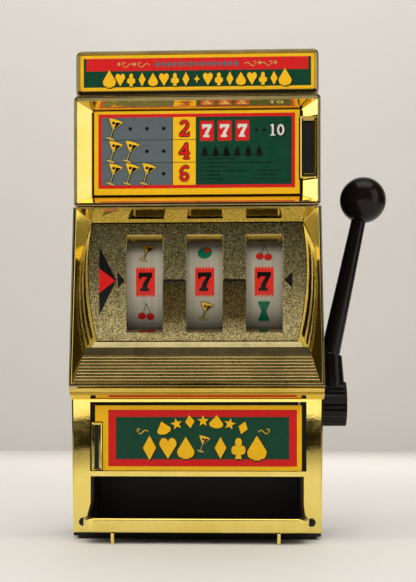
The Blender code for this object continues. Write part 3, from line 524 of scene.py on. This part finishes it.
def ellipse(cx, cy, rx, ry, count=24, tilt=0.0):
    points = []
    for i in range(count):
        angle = math.tau * i / count
        x = rx * math.cos(angle)
        y = ry * math.sin(angle)
        across = x * math.cos(tilt) - y * math.sin(tilt)
        up = x * math.sin(tilt) + y * math.cos(tilt)
        points.append((cx + across, cy + up))
    return points


def bar(x0, x1, y0, y1):
    return [(x0, y0), (x1, y0), (x1, y1), (x0, y1)]


def stroke(points, width):
    """Quads along a line of points."""
    quads = []
    for (ax, ay), (bx, by) in zip(points, points[1:]):
        length = math.hypot(bx - ax, by - ay)
        nx = -(by - ay) / length * width / 2
        ny = (bx - ax) / length * width / 2
        quads.append([(ax + nx, ay + ny), (ax - nx, ay - ny), (bx - nx, by - ny), (bx + nx, by + ny)])
    return quads


def arc(cx, cy, radius, start, end, count=10):
    points = []
    for i in range(count + 1):
        angle = math.radians(start + (end - start) * i / count)
        points.append((cx + radius * math.cos(angle), cy + radius * math.sin(angle)))
    return points


def moved(polygons, dx, dy, scale=1.0, turn=0.0):
    """Polygons scaled and turned about (0, 0), then shifted."""
    cosine = math.cos(turn) * scale
    sine = math.sin(turn) * scale
    return [[(dx + x * cosine - y * sine, dy + x * sine + y * cosine) for x, y in p] for p in polygons]


# Each symbol is a list of (ink, layer, polygons), about 10 mm tall round (0, 0).
def martini():
    """A tilted stemmed glass."""
    bowl = [[(-3.7, 4.6), (3.7, 4.6), (0.45, 0.2), (-0.45, 0.2)]]
    drink = [[(-3.0, 4.3), (3.0, 4.3), (1.0, 1.6), (-1.0, 1.6)]]
    stem = [bar(-0.34, 0.34, -4.3, 0.6)]
    foot = [ellipse(0.0, -4.5, 2.2, 0.55, 20)]
    rim = [ellipse(0.0, 4.6, 3.7, 0.75, 24)]
    pour = [ellipse(0.0, 4.6, 3.1, 0.48, 24)]
    shade = [[(0.2, 3.9), (2.8, 4.2), (0.5, 0.5)], bar(0.1, 0.34, -4.0, 0.4)]
    olive = [circle(-0.7, 3.2, 0.75, 16)]
    tilt = math.radians(-17.0)
    parts = [
        ("black", 0, with_edge(bowl + stem + foot + rim, 0.28)),
        ("gilt", 1, bowl + stem + foot + rim),
        ("yellow", 2, drink + pour),
        ("black", 3, shade + olive),
    ]
    return [(tone, layer, moved(shapes, 0.0, 0.0, 1.0, tilt)) for tone, layer, shapes in parts]


def outline(polygon, width):
    """A polygon and a stroke round its edge."""
    return [polygon] + stroke(polygon + polygon[:1], width * 2)


def with_edge(polygons, width):
    """Every polygon together with a stroke round it, for the dark edge under a shape."""
    return [piece for polygon in polygons for piece in outline(polygon, width)]


def squeezed(polygons, share):
    """Polygons made narrower about x = 0."""
    return [[(x * share, y) for x, y in polygon] for polygon in polygons]


def cherries():
    """Two cherries on one stem, each with a lighter patch."""
    stems = stroke([(0.3, 4.8), (-0.4, 2.6), (-1.9, -1.2)], 0.32)
    stems += stroke([(0.3, 4.8), (1.5, 2.9), (2.5, -1.6)], 0.32)
    stems += [ellipse(0.3, 4.8, 0.55, 0.35, 12)]
    fruit = [(-2.3, -2.5), (2.3, -3.0)]
    return [
        ("black", 0, stems + [circle(x, y, 2.22) for x, y in fruit]),
        ("red", 1, [circle(x, y, 2.02) for x, y in fruit]),
        ("orange", 2, [ellipse(x - 0.5, y + 0.6, 0.85, 0.65, 16, 0.5) for x, y in fruit]),
    ]


def olive():
    """A stuffed olive."""
    return [
        ("leaf", 0, [ellipse(0.0, 0.0, 4.5, 4.1, 32, 0.5)]),
        ("black", 1, [circle(1.4, 1.8, 1.75)]),
        ("orange", 2, [circle(1.4, 1.8, 1.6)]),
    ]


def jigger():
    """A double measure: two cups joined at the waist."""
    top = [(-3.1, 5.8), (3.1, 5.8), (3.2, 5.0), (1.3, 0.4), (-1.3, 0.4), (-3.2, 5.0)]
    foot = [(-1.3, 0.4), (1.3, 0.4), (3.0, -5.0), (2.9, -5.8), (-2.9, -5.8), (-3.0, -5.0)]
    return [
        ("leaf", 0, [top, foot]),
        ("green", 1, [bar(-2.8, 2.8, 4.3, 4.55), bar(-2.0, 2.0, 2.9, 3.1), bar(-1.2, 1.2, 0.2, 0.6)]),
        ("green", 1, [bar(-2.1, 2.1, -3.2, -3.0), bar(-2.8, 2.8, -4.8, -4.6)]),
    ]


def ticket(width, height, paper="orange", figure="black"):
    """A red ticket with toothed ends and a figure seven."""
    half = width / 2
    teeth = 6
    step = width / teeth
    deep = height * 0.085
    outline_points = []
    for i in range(teeth):
        outline_points.append((-half + step * i, height / 2 - deep))
        outline_points.append((-half + step * (i + 0.5), height / 2))
    outline_points.append((half, height / 2 - deep))
    for i in range(teeth):
        outline_points.append((half - step * i, -height / 2 + deep))
        outline_points.append((half - step * (i + 0.5), -height / 2))
    outline_points.append((-half, -height / 2 + deep))
    return [(paper, 0, [outline_points]), (figure, 1, seven(height * 0.60))]


def seven(height):
    """A slab figure seven, as pieces without overlap."""
    k = height / 10.0
    head = [(-3.6, 5.0), (3.6, 5.0), (3.6, 2.9), (2.9, 1.9), (1.2, 2.6), (-1.9, 2.6)]
    head += [(-2.1, 1.6), (-3.6, 1.6)]
    leg = [(0.9, 2.6), (3.1, 2.6), (1.2, -1.6), (0.9, -3.4), (-1.9, -3.4), (-1.4, -1.2)]
    foot = [(-2.9, -3.4), (1.9, -3.4), (1.9, -5.0), (-2.9, -5.0)]
    return moved([head, leg, foot], 0.0, 0.0, k)


def figure_two():
    top = arc(0.0, 2.2, 2.1, 170.0, -25.0, 12)
    neck = [(1.9, 1.4), (0.9, -0.6), (-1.4, -2.8), (-2.3, -4.0)]
    return stroke(top + neck, 1.7) + [bar(-2.9, 3.0, -5.0, -3.4), [(1.9, -3.4), (3.0, -3.4), (3.0, -2.0)]]


def figure_four():
    slope = stroke([(1.6, 4.9), (-2.4, -1.2)], 1.4)
    return slope + [bar(-3.3, 3.2, -2.2, -0.6), bar(0.4, 2.2, -5.0, 4.9), bar(-0.6, 3.2, -5.0, -4.0)]


def figure_six():
    bowl = arc(0.0, -2.0, 2.1, 0.0, 360.0, 24)
    neck = arc(1.7, 0.6, 3.9, 180.0, 105.0, 10)
    return stroke(bowl, 1.6) + stroke(neck + [(1.9, 4.2), (2.3, 3.3)], 1.5)


def figure_one():
    return [bar(-0.9, 0.9, -5.0, 5.0), [(-0.9, 5.0), (-2.4, 3.6), (-0.9, 3.2)], bar(-2.2, 2.2, -5.0, -3.9)]


def figure_nought():
    loop = ellipse(0.0, 0.0, 2.3, 4.1, 28)
    return stroke(loop + loop[:1], 1.8)


def bell_shape():
    """A hand bell with a clapper."""
    side = [(-3.6, -2.6), (-2.6, -1.4), (-2.2, 1.2), (-1.2, 3.4)]
    body = side + [(0.0, 4.2)] + [(-x, y) for x, y in reversed(side)]
    return [body, bar(-4.0, 4.0, -3.5, -2.6), circle(0.0, -4.2, 0.9, 14), circle(0.0, 4.6, 0.6, 12)]


def diamond(size):
    return [[(0.0, size), (size * 0.72, 0.0), (0.0, -size), (-size * 0.72, 0.0)]]


def star(size, points=5):
    outline_points = []
    notch = 0.42
    for i in range(points * 2):
        radius = size if i % 2 == 0 else size * notch
        angle = math.tau * i / (points * 2) + math.pi / 2
        outline_points.append((radius * math.cos(angle), radius * math.sin(angle)))
    return [outline_points]


def heart(size):
    """Two arcs that run down to a point."""
    left = arc(-0.5, 0.35, 0.55, 190.0, 0.0, 10)
    right = arc(0.5, 0.35, 0.55, 180.0, -10.0, 10)
    return [[(x * size, y * size) for x, y in left + right[1:] + [(0.0, -1.0)]]]


def suit_foot(size, top_half, top):
    """The flared foot of a spade or a club."""
    half = 0.4 * size
    return [(-half, -size), (half, -size), (top_half * size, top * size), (-top_half * size, top * size)]


def spade(size):
    """An upturned heart on a flared foot."""
    upper = [(x, -y) for x, y in heart(size)[0]]
    return [upper, suit_foot(size, 0.08, -0.3)]


def club(size):
    """Three lobes on a flared foot."""
    centres = ((0.0, 0.5), (-0.45, -0.2), (0.45, -0.2))
    lobes = [circle(x * size, y * size, 0.42 * size, 18) for x, y in centres]
    return lobes + [suit_foot(size, 0.1, 0.1)]


def scroll(length, side):
    """A curling flourish that starts at (0, 0)."""
    points = []
    steps = 14
    for i in range(steps + 1):
        share = i / steps
        points.append((side * length * share, 1.3 * math.sin(math.tau * share * 0.9)))
    curl = arc(side * length, 1.1, 1.1, -90.0, -90.0 + side * 250.0, 10)
    return stroke(points, 0.55) + stroke(curl, 0.5)


# ---------------------------------------------------------------- printing
# Each layer of ink lies this much above the one below it, in millimetres.
LIFT = 0.035


class Print:
    """Ink shapes gathered by ink and layer, then made into one mesh for each."""

    def __init__(self, name, body, slot, where):
        self.name = name
        self.body = body
        self.slot = slot
        self.where = where
        self.shapes = {}

    def add(self, tone, layer, polygons, at=None):
        """Polygons in one ink; a place is handed on to the function that lays them on a surface."""
        self.shapes.setdefault((tone, layer), []).append((polygons, at))

    def symbol(self, parts, x, y, scale=1.0, base=0, at=None):
        """A many-inked symbol, its layers raised by a base layer."""
        for tone, layer, polygons in parts:
            self.add(tone, base + layer, moved(polygons, x, y, scale), at)

    def shadowed(self, tone, polygons, x, y, drop, edge):
        """A shape in one ink over a dark copy that is a little larger and lower right."""
        self.add("black", 2, with_edge(moved(polygons, x + drop, y - drop), edge))
        self.add(tone, 3, moved(polygons, x, y))

    def make(self, slice_height=None):
        """One mesh for each ink and layer, sliced first where the surface under it is curved."""
        for (tone, layer), groups in sorted(self.shapes.items()):
            sheet = bmesh.new()
            for at in sorted({place for _, place in groups}, key=lambda place: place or 0.0):
                polygons = [polygon for shapes, place in groups if place == at for polygon in shapes]
                part = flat_sheet(polygons)
                if slice_height:
                    slice_across(part, slice_height)
                for vert in part.verts:
                    vert.co = self.where(vert.co.x, vert.co.z, LIFT * (layer + 1), at) * MM
                join(sheet, part)
            mesh = bpy.data.meshes.new(f"{self.name}_{tone}_{layer}")
            sheet.to_mesh(mesh)
            sheet.free()
            obj = bpy.data.objects.new(mesh.name, mesh)
            bpy.context.scene.collection.objects.link(obj)
            mesh.materials.append(INKS[tone])
            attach(obj, self.body)


def flat_sheet(polygons):
    """One sheet facing -Y that covers all the polygons, with no overlaps."""
    points = []
    faces = []
    for polygon in polygons:
        area = sum(ax * by - bx * ay for (ax, ay), (bx, by) in zip(polygon, polygon[1:] + polygon[:1]))
        ordered = polygon if area > 0 else polygon[::-1]
        faces.append(list(range(len(points), len(points) + len(ordered))))
        points.extend(Vector(point) for point in ordered)
    verts, _, triangles, _, _, sources = delaunay_2d_cdt(points, [], faces, 1, 1e-5)
    part = bmesh.new()
    made = [part.verts.new((x, 0.0, y)) for x, y in verts]
    for triangle, source in zip(triangles, sources):
        if source:
            part.faces.new([made[i] for i in triangle])
    loose = [vert for vert in part.verts if not vert.link_faces]
    bmesh.ops.delete(part, geom=loose, context="VERTS")
    return part


def slice_across(part, height):
    """Cuts a sheet at even levels so that it can be wrapped round a curve."""
    low = min(vert.co.z for vert in part.verts)
    high = max(vert.co.z for vert in part.verts)
    level = math.ceil(low / height) * height
    while level < high:
        everything = part.verts[:] + part.edges[:] + part.faces[:]
        bmesh.ops.bisect_plane(part, geom=everything, dist=1e-5, plane_co=(0, 0, level), plane_no=(0, 0, 1))
        level += height


def join(sheet, part):
    """Moves a part's faces into a sheet."""
    copies = {vert: sheet.verts.new(vert.co) for vert in part.verts}
    for face in part.faces:
        sheet.faces.new([copies[vert] for vert in face.verts])
    part.free()


def flat_face(node):
    """Print place on the front of a panel, from its middle."""
    low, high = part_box(node)
    centre = (low + high) / 2 / MM
    front = low.y / MM

    def where(x, y, lift, at):
        return Vector((centre.x + x, front - lift, centre.z + y))

    return where


def half_size(node):
    """Half the width and half the height of a panel, in millimetres."""
    low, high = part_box(node)
    return (high.x - low.x) / 2 / MM, (high.z - low.z) / 2 / MM


# ---------------------------------------------------------------- panels
def marquee_print():
    """Grey stars and diamonds between gilt scrolls on a red band, over a row of yellow card suits."""
    w, h = half_size("marquee_card")
    art = Print("marquee_print", "cabinet", "printed_card", flat_face("marquee_card"))
    art.add("green", 0, [bar(-w + 2.6, w - 2.6, -h + 2.4, h - 2.4)])
    art.add("red", 1, [bar(-w + 4.6, w - 4.6, h - 11.6, h - 2.4)])
    star_step = 4.1
    for i in range(-7, 8):
        shape = diamond(2.6) if i % 2 else star(2.5, 5)
        art.add("grey", 2, moved(shape, star_step * i, h - 7.0))
    for side in (-1, 1):
        for x in (34.5, 46.0):
            art.add("gilt", 2, moved(scroll(7.5, side), side * x, h - 7.6))
            art.add("gilt", 2, moved(diamond(1.6), side * (x + 11.0), h - 6.6))
    suits = (spade, heart, club, lambda size: diamond(size * 1.05))
    row_half = 64.0
    last = 16
    for i in range(last + 1):
        at_end = i in (0, last)
        size = 6.4 if at_end else 4.9
        y = -4.2 if at_end else -5.0
        shape = star(3.2, 4) if i == last / 2 else suits[i % 4](size)
        x = -row_half + 2 * row_half * i / last
        art.shadowed("yellow", squeezed(shape, 0.70), x, y, 0.4, 0.45)
    art.make()


def paytable_print():
    """A red frame round grey rows of glasses, a yellow column of prizes and a green half."""
    w, h = half_size("paytable_card")
    art = Print("paytable_print", "paytable_panel", "printed_card", flat_face("paytable_card"))
    left, right, top, foot = -w + 3.1, w - 3.3, h - 2.2, -h + 4.6
    art.add("red", 0, [bar(left, right, foot, top)])
    band = 2.4
    x0, x1, y0, y1 = left + band, right - band, foot + band, top - band
    column = (x0 + 52.2, x0 + 68.8)
    seam = column[0] - 0.5
    art.add("grey", 1, [bar(x0, seam, y0, y1)])
    art.add("yellow", 1, [bar(*column, y0, y1)])
    art.add("green", 1, [bar(column[1], x1, y0, y1), bar(seam, column[0], y0, y1)])
    row = (y1 - y0) / 3
    for i in (1, 2):
        level = y1 - row * i
        art.add("green", 2, [bar(x0, column[1], level - 0.22, level + 0.22)])
    for i, figure in enumerate((figure_two, figure_four, figure_six)):
        prize_row(art, i + 1, figure(), x0, sum(column) / 2, y1 - row * (i + 0.5))
    top_prize(art, column[1], y1 - 10.0)
    for i in range(6):
        art.add("black", 2, moved(bell_shape(), column[1] + 6.6 + 7.9 * i, y1 - 25.6, 0.80))
    notes(art, column[1] + 4.0, y1 - 30.6, (24.0, 52.0, 20.0, 33.0, 13.0, 19.0))
    notes(art, column[1] + 42.0, y1 - 30.6, (0.0, 0.0, 0.0, 21.0, 19.0, 16.0))
    art.make()


def prize_row(art, glasses, figure, left, figure_x, y):
    """Glasses, then dots up to four places, and the prize as a red figure with a dark edge."""
    for place in range(4):
        x = left + 8.4 + 12.2 * place
        if place < glasses:
            art.symbol(martini(), x, y - 0.6, 1.5, 2)
        else:
            art.add("black", 2, [circle(x + 0.4, y, 1.35)])
    digit = moved(figure, figure_x, y, 1.18)
    art.add("black", 2, with_edge(digit, 0.60))
    art.add("red", 3, digit)


def top_prize(art, left, y):
    """Three tickets, two dots and a white ten."""
    for i in range(3):
        art.symbol(ticket(10.0, 15.8, "red", "white"), left + 8.2 + 12.9 * i, y - 0.2, 1.0, 2)
    for i in range(2):
        art.add("black", 2, [circle(left + 44.3 + 5.4 * i, y, 1.25)])
    for shape, x in ((figure_one(), 56.0), (figure_nought(), 61.8)):
        digit = moved(shape, left + x, y, 0.84)
        art.add("black", 2, with_edge(moved(digit, 0.7, -0.5), 0.4))
        art.add("white", 3, digit)


def notes(art, left, top, lengths):
    """Rows of short dashes after a dot, in place of small print; a length of 0 leaves a row out."""
    row = 2.95
    dash = 2.4
    half = 0.42
    for i, length in enumerate(lengths):
        y = top - row * i
        for j in range(int(length / dash)):
            x = left + 1.6 + dash * j
            art.add("black", 2, [bar(x, x + (1.9 if j % 3 else 1.3), y - half, y + half)])
        if length:
            art.add("black", 2, [circle(left, y, 0.5, 10)])


def jackpot_print():
    """A red frame round a green field: an arch of suits and stars over a row of large suits."""
    w, h = half_size("jackpot_card")
    art = Print("jackpot_print", "jackpot_panel", "printed_card", flat_face("jackpot_card"))
    x0, x1, y0, y1 = -w + 9.5, w - 3.4, -h + 3.0, h - 3.2
    art.add("red", 0, [bar(x0, x1, y0, y1)])
    art.add("green", 1, [bar(x0 + 5.6, x1 - 5.5, y0 + 5.2, y1 - 5.2)])
    art_middle = 3.7
    suits = (spade, heart, diamond, club)
    last = 6
    for i in range(last + 1):
        share = i / last - 0.5
        shape = suits[i % 4](4.8) if i % 2 == 0 else star(4.4)
        turned = moved(shape, 0.0, 0.0, 1.0, math.radians(-36.0 * share))
        art.shadowed("yellow", turned, art_middle + 58.0 * share, 12.4 - 20.0 * share * share, 0.3, 0.45)
    for side in (-1, 1):
        first_suit = 2 if side > 0 else 0
        for i, x in enumerate((12.6, 25.6, 39.0)):
            shape = suits[(i + first_suit) % 4](9.0 if i == 2 else 8.0)
            art.shadowed("yellow", squeezed(shape, 0.74), art_middle + side * x, -7.2, 0.4, 0.55)
        art.add("yellow", 3, moved(scroll(7.0, side), art_middle + side * 40.0, 4.4))
    art.symbol(martini(), art_middle - 0.4, -4.6, 1.15, 3)
    art.make()


# ---------------------------------------------------------------- reels
def on_reel(number):
    """Print place round a reel: y runs up the reel's face from an angle above the pay line."""
    centre = REEL_CENTRES[number - 1] / MM
    radius = REEL_RADIUS / MM
    axis = REEL_AXIS / MM

    def where(x, y, lift, at):
        angle = at + y / radius
        reach = radius + lift
        return Vector((centre + x, axis.y - reach * math.cos(angle), axis.z + reach * math.sin(angle)))

    return where


SYMBOLS = {
    "glass": (martini, 1.38),
    "cherries": (cherries, 1.32),
    "olive": (olive, 1.22),
    "jigger": (jigger, 1.40),
    "ticket": (lambda: ticket(14.0, 23.0), 1.0),
}

# Prints on a curved face are cut this fine, in millimetres.
SLICE = 1.6
BLANK_STOPS = (2, 10)
ROUND = ("glass", "cherries", "olive", "jigger")
STOPS = 12
NEIGHBOURS = {1: ("glass", "cherries"), 2: ("olive", "glass"), 3: ("cherries", "jigger")}


def reel_order(number):
    """The ticket at the pay line, its two neighbours, blanks beyond them, then a round of four."""
    order = {0: "ticket", 1: NEIGHBOURS[number][0], STOPS - 1: NEIGHBOURS[number][1]}
    for stop in range(STOPS):
        if stop not in order and stop not in BLANK_STOPS:
            order[stop] = ROUND[(stop + number) % len(ROUND)]
    return order


def reel_prints():
    """Symbols on the three strips, one stop apart."""
    for number in NEIGHBOURS:
        art = Print(f"reel_print_{number}", f"reel_{number}", "reel_paper", on_reel(number))
        for stop, key in reel_order(number).items():
            shape, scale = SYMBOLS[key]
            art.symbol(shape(), 0.0, 0.0, scale, 0, math.tau * stop / STOPS)
        art.make(SLICE)


# ---------------------------------------------------------------- reel cover: decals and pay line
def on_cover():
    """Print place on the cover's curved front, in the frame's own X and Z."""
    cy, cz, radius = cover_arc()

    def where(x, z, lift, at):
        depth = cy - math.sqrt((radius + lift * MM) ** 2 - (z * MM - cz) ** 2)
        return Vector((x, depth / MM, z))

    return where


def cover_prints():
    """Black and red arrowheads that point at the pay line, and the line between the windows."""
    art = Print("cover_print", "cabinet", "gold_glitter", on_cover())
    line = PAY_LINE / MM
    for tone, layer, left, tip, half in (
        ("black", 0, -71.2, -58.6, 25.6),
        ("red", 1, -71.2, -59.4, 9.0),
        ("black", 0, -57.6, -52.4, 6.0),
        ("black", 0, 69.2, 63.2, 6.0),
    ):
        art.add(tone, layer, [[(left, line + half), (left, line - half), (tip, line)]])
    window_half = 14.0
    line_half = 0.9
    for a, b in ((0, 1), (1, 2)):
        x0 = REEL_CENTRES[a] / MM + window_half
        x1 = REEL_CENTRES[b] / MM - window_half
        art.add("black", 0, [bar(x0, x1, line - line_half, line + line_half)])
    art.make(2.0)


# ---------------------------------------------------------------- stage, light and camera
def stage_plane(name, size, at, turn, material):
    """A flat piece of the set, which isn't part of the object."""
    bpy.ops.mesh.primitive_plane_add(size=1.0)
    obj = bpy.context.object
    obj.name = name
    obj.scale = (size[0], size[1], 1.0)
    obj.location = at
    obj.rotation_euler = turn
    obj.data.materials.append(material)
    return obj


def stage_material(name, colour, roughness):
    """A plain, faintly uneven finish for the set."""
    look = Look(name, colour, roughness)
    darker = tuple(c * 0.95 for c in colour)
    look.colour(look.mix(look.noise(3.0, 4.0), colour, darker))
    return look.material


def soft_light(name, size, at, target, power, colour):
    """A rectangular area light that faces a target."""
    data = bpy.data.lights.new(name, "AREA")
    data.shape = "RECTANGLE"
    data.size = size[0]
    data.size_y = size[1]
    data.energy = power
    data.color = colour
    obj = bpy.data.objects.new(name, data)
    bpy.context.scene.collection.objects.link(obj)
    obj.location = at
    obj.rotation_euler = (Vector(target) - Vector(at)).to_track_quat("-Z", "Y").to_euler()
    return obj


def room_light(world):
    """A dim room: brown-dark up to well above eye level, and pale overhead."""
    tree = world.node_tree
    background = tree.nodes["Background"]
    place = tree.nodes.new("ShaderNodeTexCoord")
    parts = tree.nodes.new("ShaderNodeSeparateXYZ")
    tree.links.new(place.outputs["Generated"], parts.inputs["Vector"])
    ramp = tree.nodes.new("ShaderNodeValToRGB")
    tree.links.new(parts.outputs["Z"], ramp.inputs["Fac"])
    stops = (
        (0.00, (0.040, 0.034, 0.026)),
        (0.30, (0.045, 0.040, 0.031)),
        (0.78, (0.070, 0.064, 0.052)),
        (0.88, (0.55, 0.53, 0.49)),
        (1.00, (0.65, 0.63, 0.59)),
    )
    while len(ramp.color_ramp.elements) < len(stops):
        ramp.color_ramp.elements.new(1.0)
    for element, (position, colour) in zip(ramp.color_ramp.elements, stops):
        element.position = position
        element.color = (*colour, 1.0)
    tree.links.new(ramp.outputs["Color"], background.inputs["Color"])
    background.inputs["Strength"].default_value = 0.75


def studio():
    """Pale table and wall, large soft lights, and a dim room in front for the plating to mirror."""
    floor = stage_material("pale_floor", (0.86, 0.84, 0.80), 0.6)
    wall = stage_material("pale_wall", (0.82, 0.80, 0.77), 0.8)
    dark = stage_material("dark_band", (0.02, 0.016, 0.010), 0.9)
    pale = stage_material("pale_band", (0.8, 0.78, 0.7), 0.9)
    glow = pale.node_tree.nodes["Principled BSDF"].inputs
    glow["Emission Color"].default_value = (1.0, 0.97, 0.90, 1.0)
    glow["Emission Strength"].default_value = 0.9
    upright = (math.pi / 2, 0, 0)
    stage_plane("floor", (6.0, 4.2), (0.0, -0.1, 0.0), (0, 0, 0), floor)
    stage_plane("wall", (6.0, 3.2), (0.0, 2.00, 1.5), upright, wall)
    bands_y = -2.19
    dark_band = stage_plane("dark_band", (6.0, 0.11), (0.0, bands_y, 0.02), upright, dark)
    pale_band = stage_plane("pale_band", (6.0, 0.09), (0.0, bands_y, 0.12), upright, pale)
    for band in (dark_band, pale_band):
        band.visible_camera = False
    world = bpy.data.worlds.new("studio")
    world.use_nodes = True
    room_light(world)
    bpy.context.scene.world = world
    bpy.context.scene.view_settings.view_transform = "Standard"
    warm = (1.0, 0.975, 0.94)
    soft_light("left_box", (0.6, 1.0), (-0.95, -0.50, 0.50), (0, 0, 0.17), 3.4, warm)
    soft_light("right_box", (0.6, 1.0), (0.95, -0.50, 0.50), (0, 0, 0.17), 2.2, warm)
    soft_light("top_box", (1.4, 0.6), (0.0, -0.20, 1.2), (0, -0.05, 0.15), 3.6, warm)
    for name, size, at, target, power in (
        ("wall_wash", (3.0, 0.5), (0.0, 1.00, 1.8), (0, 2.0, 0.50), 22.0),
        ("back_fill", (1.0, 0.8), (0.3, 1.50, 0.9), (0, 0, 0.20), 5.0),
        ("table_wash", (2.4, 0.8), (0.0, -1.30, 1.4), (0, -1.30, 0.0), 9.0),
        ("front_fill", (0.9, 0.7), (-0.1, -1.25, 0.80), (0, 0, 0.20), 6.0),
    ):
        soft_light(name, size, at, target, power, warm).visible_glossy = False


EYE = Vector((0.025, -1.052, 0.0953))
EYE_TURN = math.radians(3.0)
LENS = 85.2
SENSOR = 36.0
LENS_SHIFT = (0.084, 0.201)


def camera():
    """Level with the jackpot panel's top, with the lens raised so that upright edges stay upright."""
    data = bpy.data.cameras.new("view")
    data.sensor_fit = "VERTICAL"
    data.sensor_height = SENSOR
    data.lens = LENS
    data.shift_x, data.shift_y = LENS_SHIFT
    eye = bpy.data.objects.new("view", data)
    bpy.context.scene.collection.objects.link(eye)
    eye.location = EYE
    eye.rotation_euler = (math.pi / 2, 0.0, EYE_TURN)
    bpy.context.scene.camera = eye


def main():
    """Finishes, prints, set and camera."""
    finish_cad()
    marquee_print()
    paytable_print()
    jackpot_print()
    reel_prints()
    cover_prints()
    studio()
    camera()


main()
